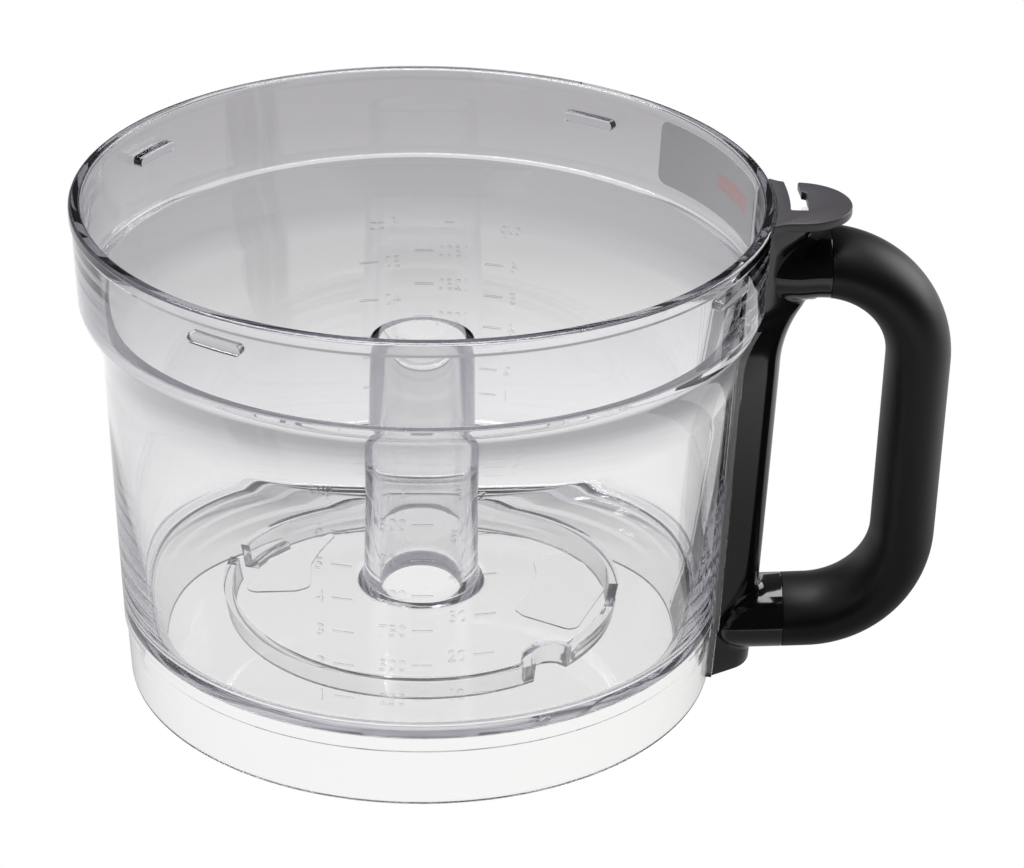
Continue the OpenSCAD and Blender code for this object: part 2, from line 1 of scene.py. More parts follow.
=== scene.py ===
import math

import bmesh
import bpy
import numpy as np
from mathutils import Matrix, Vector


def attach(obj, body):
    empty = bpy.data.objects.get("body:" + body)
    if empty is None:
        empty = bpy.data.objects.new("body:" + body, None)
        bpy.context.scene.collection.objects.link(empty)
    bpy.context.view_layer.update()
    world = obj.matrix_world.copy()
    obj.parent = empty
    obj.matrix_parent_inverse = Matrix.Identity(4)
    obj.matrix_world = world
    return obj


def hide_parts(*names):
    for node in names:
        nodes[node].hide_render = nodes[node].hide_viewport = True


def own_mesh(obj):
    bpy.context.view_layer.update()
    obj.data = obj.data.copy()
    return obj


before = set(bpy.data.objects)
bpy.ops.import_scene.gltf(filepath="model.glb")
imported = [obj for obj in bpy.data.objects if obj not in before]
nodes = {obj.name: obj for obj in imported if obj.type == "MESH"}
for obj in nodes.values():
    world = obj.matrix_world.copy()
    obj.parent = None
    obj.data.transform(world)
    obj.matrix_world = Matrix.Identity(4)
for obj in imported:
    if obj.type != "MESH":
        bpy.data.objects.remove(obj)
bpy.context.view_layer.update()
mm = 0.001  # the pieces' sizes are in millimetres, the stage's in metres
scene = bpy.context.scene
collection = scene.collection


class Value:  # one socket, ready for sums
    def __init__(self, tree, socket):
        self.tree, self.socket = tree, socket

    def __add__(self, other):
        return self.tree.maths("ADD", self, other)

    def __radd__(self, other):
        return self.tree.maths("ADD", other, self)

    def __sub__(self, other):
        return self.tree.maths("SUBTRACT", self, other)

    def __rsub__(self, other):
        return self.tree.maths("SUBTRACT", other, self)

    def __mul__(self, other):
        return self.tree.maths("MULTIPLY", self, other)

    def __rmul__(self, other):
        return self.tree.maths("MULTIPLY", other, self)

    def __lt__(self, other):
        return self.tree.maths("LESS_THAN", self, other)

    def __gt__(self, other):
        return self.tree.maths("GREATER_THAN", self, other)


class Tree:  # a node tree and the one way to add a node to it
    def __init__(self, nodeTree):
        self.nodeTree = nodeTree

    def node(self, kind, settings=None, sockets=None, output=0):
        made = self.nodeTree.nodes.new(kind)
        for key, value in (settings or {}).items():
            if key == "stops":
                ramp = made.color_ramp
                while len(ramp.elements) < len(value):
                    ramp.elements.new(0.5)
                for element, (place, colour) in zip(ramp.elements, value):
                    element.position, element.color = place, (*colour, 1)
            else:
                setattr(made, key, value)
        for key, value in (sockets or {}).items():
            if isinstance(value, Value):
                self.nodeTree.links.new(value.socket, made.inputs[key])
            else:
                made.inputs[key].default_value = value
        return Value(self, made.outputs[output] if len(made.outputs) else None)

    def other(self, value, output):  # another output of the same node
        return Value(self, value.socket.node.outputs[output])

    def maths(self, operation, first, second=0.0):
        return self.node("ShaderNodeMath", {"operation": operation}, {0: first, 1: second})

    def parts(self, vector):  # its x, y and z
        x = self.node("ShaderNodeSeparateXYZ", sockets={0: vector})
        return x, self.other(x, 1), self.other(x, 2)

    def between(self, value, low, high, toLow=0.0, toHigh=1.0):  # an eased step from one value to another
        return self.node(
            "ShaderNodeMapRange",
            {"interpolation_type": "SMOOTHSTEP"},
            {"Value": value, "From Min": low, "From Max": high, "To Min": toLow, "To Max": toHigh},
        )


class Finish(Tree):  # a material, whose patterns read the piece's own place in metres
    def __init__(self, name):
        self.material = bpy.data.materials.new(name)
        self.material.use_nodes = True
        self.material.node_tree.nodes.clear()
        super().__init__(self.material.node_tree)
        self.place = self.node("ShaderNodeTexCoord", output="Object")

    def noise(self, size, detail, roughness=0.5, stretch=(1, 1, 1)):  # size in millimetres
        scaled = self.node("ShaderNodeMapping", sockets={"Vector": self.place, "Scale": stretch})
        return self.node(
            "ShaderNodeTexNoise",
            sockets={"Vector": scaled, "Scale": 1 / (size * mm), "Detail": detail, "Roughness": roughness},
        )

    def blendColours(self, factor, first, second):
        return self.node(
            "ShaderNodeMix", {"data_type": "RGBA"}, {0: factor, 6: (*first, 1), 7: (*second, 1)}, output=2
        )

    def bump(self, height, depth, strength):  # depth in millimetres
        return self.node(
            "ShaderNodeBump", sockets={"Height": height, "Distance": depth * mm, "Strength": strength}
        )

    def shader(self, sockets):
        return self.node("ShaderNodeBsdfPrincipled", sockets=sockets)

    def done(self, shader, inside=None):
        made = {"Surface": shader, "Volume": inside} if inside else {"Surface": shader}
        self.node("ShaderNodeOutputMaterial", sockets=made)
        return self.material


clearLook = {
    # colourLow is the plastic's own pale tint; the colour at the top and the heights between them are painted
    # shade that darkens the wall towards the collar
    "colourLow": (0.965, 0.965, 0.965), "shadedColourHigh": (0.885, 0.878, 0.892), "paintedShadeHeights": (85, 140),
    "roughness": 0.012, "shadow": (0.93, 0.93, 0.94),
    "inside": (0.5, 0.5, 0.56), "density": 20.0,  # what the wall takes out of the light on its way
    "witnessLines": (156, 52.2, -112.5, -38), "lineHeights": (119, 121.5, 143.5, 144.5),
    "lineEdges": (0.0008, 0.0022),  # in radians
}


def clearPlastic():
    look = Finish("clearPlastic")
    x, y, z = look.parts(look.place)
    low, high = (height * mm for height in clearLook["paintedShadeHeights"])
    # painted shade: the tint darkens from the plastic's own colour to a greyer violet between these heights
    rise = look.between(z, low, high)
    wander = look.noise(38, 1.0)
    angle = look.maths("ARCTAN2", y, x)
    line = 0.0
    for degrees in clearLook["witnessLines"]:  # faint upright lines where the mould's slides meet
        away = look.maths("ABSOLUTE", angle - math.radians(degrees))
        line = look.between(away, *clearLook["lineEdges"], 1.0, 0.0) + line
    foot, low, high, top = (height * mm for height in clearLook["lineHeights"])
    collar = look.between(z, foot, low) * look.between(z, high, top, 1.0, 0.0)
    surface = look.shader({
        "Base Color": look.blendColours(rise, clearLook["colourLow"], clearLook["shadedColourHigh"]),
        "Roughness": wander * 0.006 + clearLook["roughness"],
        "IOR": 1.57,
        "Transmission Weight": 1.0,
        "Normal": look.bump(wander * 0.6 + line * collar * 0.06, 0.12, 0.5),
    })
    shadow = look.node("ShaderNodeBsdfTransparent", sockets={"Color": (*clearLook["shadow"], 1)})
    path = look.node("ShaderNodeLightPath", output="Is Shadow Ray")
    seen = look.node("ShaderNodeMixShader", sockets={0: path, 1: surface, 2: shadow})
    inside = look.node("ShaderNodeVolumeAbsorption", sockets={
        "Color": (*clearLook["inside"], 1), "Density": clearLook["density"]})
    return look.done(seen, inside)


glossLook = {"dark": (0.0065, 0.0072, 0.0068), "light": (0.0085, 0.0088, 0.0088), "roughness": 0.065}


def blackGloss():
    look = Finish("blackGloss")
    fine = look.noise(0.9, 3.0)
    broad = look.noise(30, 2.0)
    return look.done(look.shader({
        "Base Color": look.blendColours(broad, glossLook["dark"], glossLook["light"]),
        "Roughness": broad * 0.04 + fine * 0.02 + glossLook["roughness"],
        "IOR": 1.5,
        "Normal": look.bump(broad + fine * 0.02, 0.05, 0.35),
    }))


gripLook = {
    "dark": (0.0035, 0.0035, 0.0038), "light": (0.0048, 0.0048, 0.005), "roughness": 0.36, "shine": 0.3,
}


def softGrip():
    look = Finish("softGrip")
    grain = look.noise(0.32, 4.0, 0.65)
    worn = look.noise(24, 2.0)
    return look.done(look.shader({
        "Base Color": look.blendColours(worn, gripLook["dark"], gripLook["light"]),
        "Roughness": grain * 0.1 + worn * 0.04 + gripLook["roughness"],
        "IOR": 1.46,
        "Specular IOR Level": gripLook["shine"],
        "Normal": look.bump(grain, 0.03, 0.5),
    }))


plateLook = {"dark": (0.037, 0.034, 0.039), "light": (0.044, 0.040, 0.046), "roughness": 0.33}


def satinGrey():
    look = Finish("satinGrey")
    grain = look.noise(0.22, 3.0, 0.6)
    broad = look.noise(14, 2.0)
    return look.done(look.shader({
        "Base Color": look.blendColours(broad, plateLook["dark"], plateLook["light"]),
        "Roughness": grain * 0.1 + plateLook["roughness"],
        "IOR": 1.5,
        "Normal": look.bump(grain, 0.02, 0.45),
    }))


def mouldedPlastic(name, dark, light, roughness):
    look = Finish(name)
    grain = look.noise(0.4, 2.0)
    broad = look.noise(9, 2.0)
    return look.done(look.shader({
        "Base Color": look.blendColours(broad, dark, light),
        "Roughness": grain * 0.1 + roughness,
        "Normal": look.bump(grain, 0.015, 0.4),
    }))


def brightSteel(name, shade, roughness, streak):
    look = Finish(name)
    drawn = look.noise(0.5, 3.0, 0.6, streak)
    return look.done(look.shader({
        "Base Color": look.blendColours(drawn, tuple(c * 0.86 for c in shade), shade),
        "Metallic": 1.0,
        "Roughness": drawn * 0.14 + roughness,
        "Normal": look.bump(drawn, 0.01, 0.4),
    }))


labelLook = {
    "film": (0.40, 0.40, 0.405), "cover": 0.45,
    "block": (0.50, 0.30, 0.30), "blockAngles": (14.5, 27), "blockHeights": (133.3, 138.2),
}


def labelFilm():
    look = Finish("labelFilm")
    x, y, z = look.parts(look.place)
    angle = look.maths("ARCTAN2", y, x)
    speck = look.noise(0.7, 2.0)
    left, right = (math.radians(degrees) for degrees in labelLook["blockAngles"])
    low, high = (height * mm for height in labelLook["blockHeights"])
    across = (angle > left) * (angle < right)
    upright = (z > low) * (z < high)
    return look.done(look.shader({
        "Base Color": look.blendColours(across * upright, labelLook["film"], labelLook["block"]),
        "Roughness": speck * 0.15 + 0.3,
        "Alpha": speck * 0.05 + labelLook["cover"],
        "Normal": look.bump(speck, 0.01, 0.3),
    }))


clearFinish = clearPlastic()
spineFinish = blackGloss()
gripFinish = softGrip()
plateFinish = satinGrey()
coreFinish = mouldedPlastic("corePlastic", (0.012, 0.012, 0.012), (0.02, 0.02, 0.02), 0.4)
paleFinish = mouldedPlastic("palePlastic", (0.52, 0.52, 0.50), (0.6, 0.6, 0.58), 0.32)
guideFinish = mouldedPlastic("guidePlastic", (0.66, 0.66, 0.62), (0.72, 0.72, 0.69), 0.36)
screwFinish = brightSteel("screwSteel", (0.62, 0.62, 0.63), 0.2, (1, 1, 0.2))
springFinish = brightSteel("springSteel", (0.56, 0.57, 0.6), 0.16, (1, 1, 4))
filmFinish = labelFilm()
print("finishes made")


def linked(name, data):  # a new object in the scene
    piece = bpy.data.objects.new(name, data)
    collection.objects.link(piece)
    return piece


def meshPiece(name, points, faces=(), finish=None, edges=()):  # points in millimetres
    mesh = bpy.data.meshes.new(name)
    mesh.from_pydata([tuple(c * mm for c in p) for p in points], edges, faces)
    if finish:
        mesh.materials.append(finish)
    return linked(name, mesh)


def tidyNormals(piece, merge=0.0):
    work = bmesh.new()
    work.from_mesh(piece.data)
    if merge:
        bmesh.ops.remove_doubles(work, verts=work.verts, dist=merge * mm)
    bmesh.ops.recalc_face_normals(work, faces=work.faces)
    work.to_mesh(piece.data)
    work.free()
    return piece


def loft(name, rings, closed=False, finish=None):  # a skin over rings with the same number of points
    count, total = len(rings[0]), len(rings)
    faces = []
    for k in range(total if closed else total - 1):
        low, high = k * count, (k + 1) % total * count
        for i in range(count):
            j = (i + 1) % count
            faces.append((low + i, low + j, high + j, high + i))
    if not closed:
        faces.append(tuple(range(count))[::-1])
        faces.append(tuple(range((total - 1) * count, total * count)))
    return tidyNormals(meshPiece(name, [p for ring in rings for p in ring], faces, finish))


def turned(name, line, steps, start=0.0, span=360.0, finish=None):  # a closed line of (radius, height), spun
    whole = span >= 360
    rings = []
    for k in range(steps if whole else steps + 1):
        a = math.radians(start + span * k / steps)
        rings.append([(r * math.cos(a), r * math.sin(a), z) for r, z in line])
    return loft(name, rings, whole, finish)


def prism(name, line, z0, z1):  # a flat closed line, drawn upwards
    return loft(name, [[(x, y, z) for x, y in line] for z in (z0, z1)])


def block(name, low, high):
    x0, y0, z0 = low
    x1, y1, z1 = high
    return prism(name, [(x0, y0), (x1, y0), (x1, y1), (x0, y1)], z0, z1)


def ovalPoints(steps, halfX, halfY, x=0.0, y=0.0):
    angles = [2 * math.pi * i / steps for i in range(steps)]
    return [(x + halfX * math.cos(a), y + halfY * math.sin(a)) for a in angles]


def rod(name, at, radius, z0, z1, steps=48):
    return prism(name, ovalPoints(steps, radius, radius, *at), z0, z1)


def spun(piece, degrees):  # turned about the bowl's axis
    piece.data.transform(Matrix.Rotation(math.radians(degrees), 4, "Z"))
    return piece


def paint(piece, finish):  # one finish on every face
    piece.data.materials.clear()
    piece.data.materials.append(finish)
    for face in piece.data.polygons:
        face.material_index = 0


def workedOut(piece):  # the mesh that its modifiers make of it
    graph = bpy.context.evaluated_depsgraph_get()
    made = bpy.data.meshes.new_from_object(piece.evaluated_get(graph))
    piece.modifiers.clear()
    return made


def plain(piece):  # the piece with its modifiers worked in
    made = workedOut(piece)
    if piece.type == "MESH":
        piece.data = made
        return piece
    name = piece.name
    bpy.data.objects.remove(piece)
    return linked(name, made)


def combine(piece, tool, operation="UNION", solvers=("MANIFOLD", "EXACT")):  # the tool is used up
    before = len(piece.data.vertices)
    for solver in solvers:
        change = piece.modifiers.new("combine", "BOOLEAN")
        change.operation, change.solver, change.object = operation, solver, tool
        made = workedOut(piece)
        if len(made.vertices) and len(made.vertices) != before:
            break
        print("  ", solver, "left", piece.name, "as it was, with", tool.name)
    piece.data = made
    bpy.data.objects.remove(tool)
    return piece


def cut(piece, tool):
    return combine(piece, tool, "DIFFERENCE")


def smooth(piece, degrees):  # with sharp edges past an angle
    piece.data.shade_smooth()
    piece.data.set_sharp_from_angle(angle=math.radians(degrees))
    return piece


def softenEdges(piece, width):
    bevel = piece.modifiers.new("edges", "BEVEL")
    bevel.width, bevel.segments = width * mm, 2
    bevel.limit_method, bevel.angle_limit = "ANGLE", math.radians(50)
    bevel.use_clamp_overlap = True
    return plain(piece)


def roundLine(points, steps=4):  # a closed line through corners of (x, y) or (x, y, radius)
    made = []
    for i, point in enumerate(points):
        p = Vector(point[:2])
        radius = point[2] if len(point) > 2 else 0
        a = Vector(points[i - 1][:2]) - p
        b = Vector(points[(i + 1) % len(points)][:2]) - p
        if not radius:
            made.append(tuple(p))
            continue
        u, v = a.normalized(), b.normalized()
        half = u.angle(v) / 2
        run = min(radius / math.tan(half), 0.48 * a.length, 0.48 * b.length)
        radius = run * math.tan(half)
        centre = p + (u + v).normalized() * (radius / math.sin(half))
        first, last = p + u * run - centre, p + v * run - centre
        turn = first.angle_signed(last)
        for k in range(steps + 1):
            t = -turn * k / steps
            made.append((
                centre.x + first.x * math.cos(t) - first.y * math.sin(t),
                centre.y + first.x * math.sin(t) + first.y * math.cos(t),
            ))
    return made


def finer(line):  # a closed flat line with points about a millimetre apart
    made = []
    for (u0, v0), (u1, v1) in zip(line, line[1:] + line[:1]):
        pieces = max(1, round(abs(u1 - u0)))
        made += [(u0 + (u1 - u0) * i / pieces, v0 + (v1 - v0) * i / pieces) for i in range(pieces)]
    return made


def growTree(name, *inputs):  # a tree with named inputs, and the way to reach one of them
    tree = bpy.data.node_groups.new(name, "GeometryNodeTree")
    tree.interface.new_socket("Geometry", in_out="INPUT", socket_type="NodeSocketGeometry")
    tree.interface.new_socket("Geometry", in_out="OUTPUT", socket_type="NodeSocketGeometry")
    for label, kind, value in (*inputs, ("Finish", "Material", None)):
        made = tree.interface.new_socket(label, in_out="INPUT", socket_type="NodeSocket" + kind)
        if value is not None:
            made.default_value = value
    maker = Tree(tree)
    given = maker.node("NodeGroupInput")
    return maker, (lambda label: maker.other(given, label))


def closeTree(maker, given, geometry):
    whole = maker.node("GeometryNodeRealizeInstances", sockets={"Geometry": geometry})
    painted = maker.node("GeometryNodeSetMaterial", sockets={
        "Geometry": whole, "Material": given("Finish")})
    maker.node("NodeGroupOutput", sockets={"Geometry": painted})
    return maker.nodeTree


def grow(base, tree, values):  # the tree's result on a piece, as a plain mesh
    change = base.modifiers.new("grow", "NODES")
    change.node_group = tree
    labels = {item.name: item.identifier for item in tree.interface.items_tree if item.in_out == "INPUT"}
    for label, value in values.items():
        change[labels[label]] = value
    return plain(base)


def carriedValue(maker, name, kind):
    return maker.node("GeometryNodeInputNamedAttribute", {"data_type": kind}, {"Name": name})


def onPoints(maker, given, turn):  # the given piece on each point
    points = maker.node("GeometryNodeMeshToPoints", sockets={"Mesh": given("Geometry")})
    piece = maker.node("GeometryNodeObjectInfo", sockets={"Object": given("Piece")}, output="Geometry")
    copies = maker.node("GeometryNodeInstanceOnPoints", sockets={
        "Points": points, "Instance": piece, "Rotation": turn})
    return closeTree(maker, given, copies)


def aroundTree():  # a piece for each point, turned about the upright axis by the point's angle
    maker, given = growTree("aroundTheAxis", ("Piece", "Object", None))
    turn = maker.node("ShaderNodeCombineXYZ", sockets={"Z": carriedValue(maker, "angle", "FLOAT")})
    return onPoints(maker, given, turn)


def headingTree():  # a piece on each point, its axis along the point's heading
    maker, given = growTree("alongTheHeading", ("Piece", "Object", None))
    heading = carriedValue(maker, "heading", "FLOAT_VECTOR")
    turn = maker.node("FunctionNodeAlignRotationToVector", {"axis": "Z"}, {"Vector": heading})
    return onPoints(maker, given, turn)


def ladderTree():  # copies of a piece, one step apart
    maker, given = growTree("ladder", ("Count", "Int", 6), ("Step", "Vector", (0, 0, 0.01)))
    points = maker.node("GeometryNodeMeshLine", sockets={"Count": given("Count"), "Offset": given("Step")})
    copies = maker.node("GeometryNodeInstanceOnPoints", sockets={
        "Points": points, "Instance": given("Geometry")})
    return closeTree(maker, given, copies)


def coilTree():  # a round wire wound into a coil
    maker, given = growTree(
        "coil", ("Turns", "Float", 8.0), ("Radius", "Float", 0.0024), ("Height", "Float", 0.0248),
        ("Wire", "Float", 0.0003))
    path = maker.node("GeometryNodeCurveSpiral", sockets={
        "Resolution": 40, "Rotations": given("Turns"), "Start Radius": given("Radius"),
        "End Radius": given("Radius"), "Height": given("Height")})
    profile = maker.node("GeometryNodeCurvePrimitiveCircle", sockets={
        "Resolution": 12, "Radius": given("Wire")})
    wire = maker.node("GeometryNodeCurveToMesh", sockets={
        "Curve": path, "Profile Curve": profile, "Fill Caps": True})
    soft = maker.node("GeometryNodeSetShadeSmooth", sockets={"Geometry": wire})
    return closeTree(maker, given, soft)


def gripTree():  # an oval carried along a path in the handle's plane
    maker, given = growTree(
        "ovalAlongPath", ("Half width", "Float", 0.0152), ("Half thickness", "Float", 0.0093))
    path = maker.node("GeometryNodeMeshToCurve", sockets={"Mesh": given("Geometry")})
    held = maker.node("GeometryNodeSetCurveNormal", {"mode": "FREE"}, {"Curve": path, "Normal": (0, 1, 0)})
    circle = maker.node("GeometryNodeCurvePrimitiveCircle", sockets={"Resolution": 112, "Radius": 1.0})
    size = maker.node("ShaderNodeCombineXYZ", sockets={
        "X": given("Half width"), "Y": given("Half thickness"), "Z": 1.0})
    oval = maker.node("GeometryNodeTransform", sockets={"Geometry": circle, "Scale": size})
    skin = maker.node("GeometryNodeCurveToMesh", sockets={"Curve": held, "Profile Curve": oval})
    return closeTree(maker, given, skin)


def copiesOn(name, spots, carried, piece, tree, finish):  # each spot carries one value that turns its copy
    label, kind, values = carried
    base = meshPiece(name, spots)
    stored = base.data.attributes.new(label, kind, "POINT")
    for item, value in zip(stored.data, values):
        setattr(item, "value" if kind == "FLOAT" else "vector", value)
    made = grow(base, tree, {"Piece": piece, "Finish": finish})
    bpy.data.objects.remove(piece)
    return made


bowl = {
    "rimRadius": 99, "rimHeight": 147.7, "rimInner": 95.5,
    "collarRadius": 97.4, "collarTopRadius": 98.4, "collarTop": 143.6, "beadHeight": 144.6,
    "ledgeHeight": 120.7, "ledgeInner": 91.5, "ledgeOuter": 94.4,
    "wallTop": 90.6, "wallFoot": 87.3, "wall": 2.7, "shoulderLow": 97, "shoulderTop": 121,
    "upperArc": 0.17, "upperArcInside": 0.04,  # the shoulder's upper arc, as a share of both
    "skirtTop": 17.6, "skirtTopRadius": 86.7, "skirtRadius": 85.7, "footHeight": 18.4,
    "floorHeight": 24.2, "socketRadius": 83, "socketDeep": 84, "socketTop": 12,
    "tubeHeight": 102.7, "tubeBore": 12.3, "tubeTop": 15, "tubeFoot": 17,
    "steps": 288,
}
sunk = 0.4  # how far a part under the floor reaches into it
underFloor = bowl["floorHeight"] - bowl["wall"]


def sStep(r1, z1, r2, z2, share, count=20):  # two arcs that lead from one upright wall to another
    h, d = z1 - z2, r1 - r2
    both = (h * h + d * d) / (2 * d)
    ra = both * share
    rb = both - ra
    turns = [math.asin(h / both) * i / count for i in range(count + 1)]
    upper = [(r1 - ra + ra * math.cos(t), z1 - ra * math.sin(t)) for t in turns]
    lower = [(r2 + rb - rb * math.cos(t), z2 + rb * math.sin(t)) for t in turns[-2::-1]]
    return upper + lower


shoulderOut = sStep(
    bowl["collarRadius"], bowl["shoulderTop"], bowl["wallTop"], bowl["shoulderLow"], bowl["upperArc"])
shoulderIn = sStep(
    bowl["ledgeInner"], bowl["ledgeHeight"], bowl["wallTop"] - bowl["wall"], bowl["shoulderLow"],
    bowl["upperArcInside"])
outerWall = [
    (bowl["skirtRadius"], 0.6), (bowl["skirtTopRadius"], bowl["skirtTop"]),
    (bowl["wallFoot"], bowl["footHeight"]), *shoulderOut[::-1], (bowl["collarTopRadius"], bowl["collarTop"]),
]


def bowlRadius(z):  # of the outer wall at a height
    z = min(max(z, 0.6), bowl["collarTop"])
    for (r0, z0), (r1, z1) in zip(outerWall, outerWall[1:]):
        if z <= z1:
            return r0 + (r1 - r0) * (z - z0) / max(z1 - z0, 0.001)
    return outerWall[-1][0]


def bowlLine():
    outer = [
        (bowl["skirtRadius"] - 0.03, 0, 0.6), (bowl["skirtTopRadius"], bowl["skirtTop"], 0.25),
        (bowl["wallFoot"], bowl["footHeight"], 0.3),
    ]
    outer += [(bowlRadius(z), z) for z in range(22, 96, 3)]  # rows that the raised figures are cut into
    outer += shoulderOut[::-1]
    outer += [
        (bowl["collarTopRadius"], bowl["collarTop"], 0.4), (bowl["rimRadius"], bowl["beadHeight"], 0.5),
        (bowl["rimRadius"], bowl["rimHeight"], 0.9),
    ]
    inner = [
        (bowl["rimInner"], bowl["rimHeight"], 0.75), (bowl["ledgeOuter"], bowl["ledgeHeight"], 0.7),
        *shoulderIn,
        (bowl["wallFoot"] - bowl["wall"], bowl["floorHeight"], 4), (bowl["tubeFoot"], bowl["floorHeight"], 4),
        (bowl["tubeTop"], bowl["tubeHeight"], 0.6), (bowl["tubeBore"], bowl["tubeHeight"], 0.4),
        (bowl["tubeBore"], underFloor, 0.5), (bowl["socketDeep"], underFloor, 0.5),
        (bowl["socketRadius"], bowl["socketTop"], 0.3), (bowl["socketRadius"], 0, 0.4),
    ]
    return roundLine(outer + inner, 6)


def exactNormals(piece, line):  # the turned faces take their normals from the line itself
    mesh = piece.data
    points = np.array(line)
    along = np.roll(points, -1, 0) - points
    length = np.maximum(np.hypot(along[:, 0], along[:, 1]), 1e-9)
    sideways = np.stack([along[:, 1], -along[:, 0]], 1) / length[:, None]
    before, after = np.roll(sideways, 1, 0), sideways
    softened = before + after
    softened /= np.maximum(np.hypot(softened[:, 0], softened[:, 1]), 1e-9)[:, None]
    bent = (before * after).sum(1) < math.cos(math.radians(32))
    atStart = np.where(bent[:, None], after, softened)
    atEnd = np.where(np.roll(bent, -1)[:, None], after, np.roll(softened, -1, 0))
    spots = np.array([v.co for v in mesh.vertices]) / mm
    normals = np.array([c.vector for c in mesh.corner_normals])
    radius, height = np.hypot(spots[:, 0], spots[:, 1]), spots[:, 2]
    turn = np.arctan2(spots[:, 1], spots[:, 0])
    found = 0
    for face in mesh.polygons:
        centre = np.array(face.center) / mm
        flat = np.array((math.hypot(centre[0], centre[1]), centre[2]))
        share = np.clip(((flat - points) * along).sum(1) / length ** 2, 0, 1)
        gap = np.hypot(*(points + along * share[:, None] - flat).T)
        k = int(gap.argmin())  # the stretch of the line that the face lies on
        a = math.atan2(centre[1], centre[0])
        n = np.array((sideways[k, 0] * math.cos(a), sideways[k, 0] * math.sin(a), sideways[k, 1]))
        raised = abs(gap[k] - scale["proud"]) < 0.04 and flat[1] < bowl["shoulderLow"]
        if not (gap[k] < 0.03 or raised) or n @ np.array(face.normal) < 0.985:
            continue
        found += 1
        corners = list(face.loop_indices)
        which = np.array([mesh.loops[c].vertex_index for c in corners])
        pair = np.stack([radius[which], height[which]], 1)
        t = np.clip(((pair - points[k]) @ along[k]) / length[k] ** 2, 0, 1)[:, None]
        m = atStart[k] * (1 - t) + atEnd[k] * t
        m /= np.hypot(m[:, 0], m[:, 1])[:, None]
        around = turn[which]
        normals[corners] = np.stack([m[:, 0] * np.cos(around), m[:, 0] * np.sin(around), m[:, 1]], 1)
    mesh.normals_split_custom_set([tuple(n) for n in normals])
    print("exact normals on", found, "of", len(mesh.polygons), "faces")


ring = {
    "radius": 59.1, "wall": 2.8, "height": 8, "gap": 9, "gapAngles": (164.5, -5.5),
    "lugStarts": (141, -37), "lugSpan": 22, "lugWall": 2, "lugHeight": 3,
    "nicheAngle": -48, "nicheRadius": 9.2,
}


def ringParts():
    inner, outer = ring["radius"] - ring["wall"], ring["radius"]
    low, top = underFloor - ring["height"], underFloor + sunk
    made = turned("ring", roundLine([(inner, low, 0.4), (outer, low, 0.4), (outer, top), (inner, top)]), 192)
    tip, back, lugTop = inner - ring["lugWall"], inner + 0.9, low + ring["lugHeight"]
    for start in ring["lugStarts"]:
        lug = roundLine([(tip, low + 0.01, 0.4), (back, low + 0.01), (back, lugTop), (tip, lugTop, 0.4)])
        combine(made, turned("lug", lug, 22, start, ring["lugSpan"]))
    a = math.radians(ring["nicheAngle"])
    at = (outer * math.cos(a), outer * math.sin(a))
    niche = rod("niche", at, ring["nicheRadius"], low + 0.3, top, 72)
    combine(niche, rod("keep", (0, 0), outer - 0.8, low, top, 192), "INTERSECT")
    combine(made, niche)
    cut(made, rod("hollow", at, ring["nicheRadius"] - ring["wall"], low - 1, underFloor, 72))
    half = ring["gap"] / 2
    for degrees in ring["gapAngles"]:
        cut(made, spun(block("gap", (inner - 6, -half, low - 1), (outer + 4, half, underFloor)), degrees))
    return softenEdges(made, 0.25)


lidRib = {"angles": (60, 149.3, 237.3, 333), "span": 8.5, "depth": 2.5, "height": 3.2, "z": 138}


def lidRibs():  # one rib with round ends, bent round the collar, and its copies
    half = bowl["rimInner"] * math.radians(lidRib["span"] / 2)
    tall = lidRib["height"] / 2
    turns = [-math.pi / 2 + math.pi * k / 24 for k in range(25)]
    end = [(half + tall * math.cos(t), tall * math.sin(t)) for t in turns]
    outline = finer(end + [(-u, v) for u, v in end[::-1]])
    face = bowl["rimInner"] - 0.4 - lidRib["depth"]  # the collar leans in by 0.4 down here
    rings = []
    edge = ((0.45, 0), (0.18, 0.08), (0.04, 0.26), (0, 0.5))
    for radius, shrink in ((96.2, 0), *((face + lift, shrink) for lift, shrink in edge)):
        level = []
        for u, v in outline:
            u = u * (half + tall - shrink) / (half + tall)
            v = v * (tall - shrink) / tall
            a = u / bowl["rimInner"]
            level.append((radius * math.cos(a), radius * math.sin(a), lidRib["z"] + v))
        rings.append(level)
    angles = [math.radians(a) for a in lidRib["angles"]]
    spots, carried = [(0, 0, 0)] * len(angles), ("angle", "FLOAT", angles)
    return copiesOn("lidRibs", spots, carried, loft("rib", rings), aroundTree(), clearFinish)


scale = {
    "sides": (-87.7, 91.9), "zero": 24.2, "wide": 6, "dash": 0.5, "proud": 0.3, "sunk": 0.3, "digits": 3.6,
    "unitsAt": 99.585,
}
columns = {  # mark spacing, degrees from the middle column, and how far left of the line the words end
    "ml": {"step": 11.05, "turn": 0, "count": 6, "each": 250, "right": 4.2, "unitRight": 4.6},
    "cup": {"step": 10.458, "turn": -14, "count": 6, "each": 1, "right": 5.0, "unitRight": 1.5},
    "fl oz": {"step": 12.557, "turn": 11, "count": 5, "each": 10, "right": 5.0, "unitRight": 0.5},
}


def onWall(u, v, w, degrees, z0):  # a flat point, wrapped on the outer wall
    z = z0 + v
    r = bowlRadius(z) + w
    a = math.radians(degrees) + u / bowlRadius(z0)
    return (r * math.cos(a), r * math.sin(a), z)


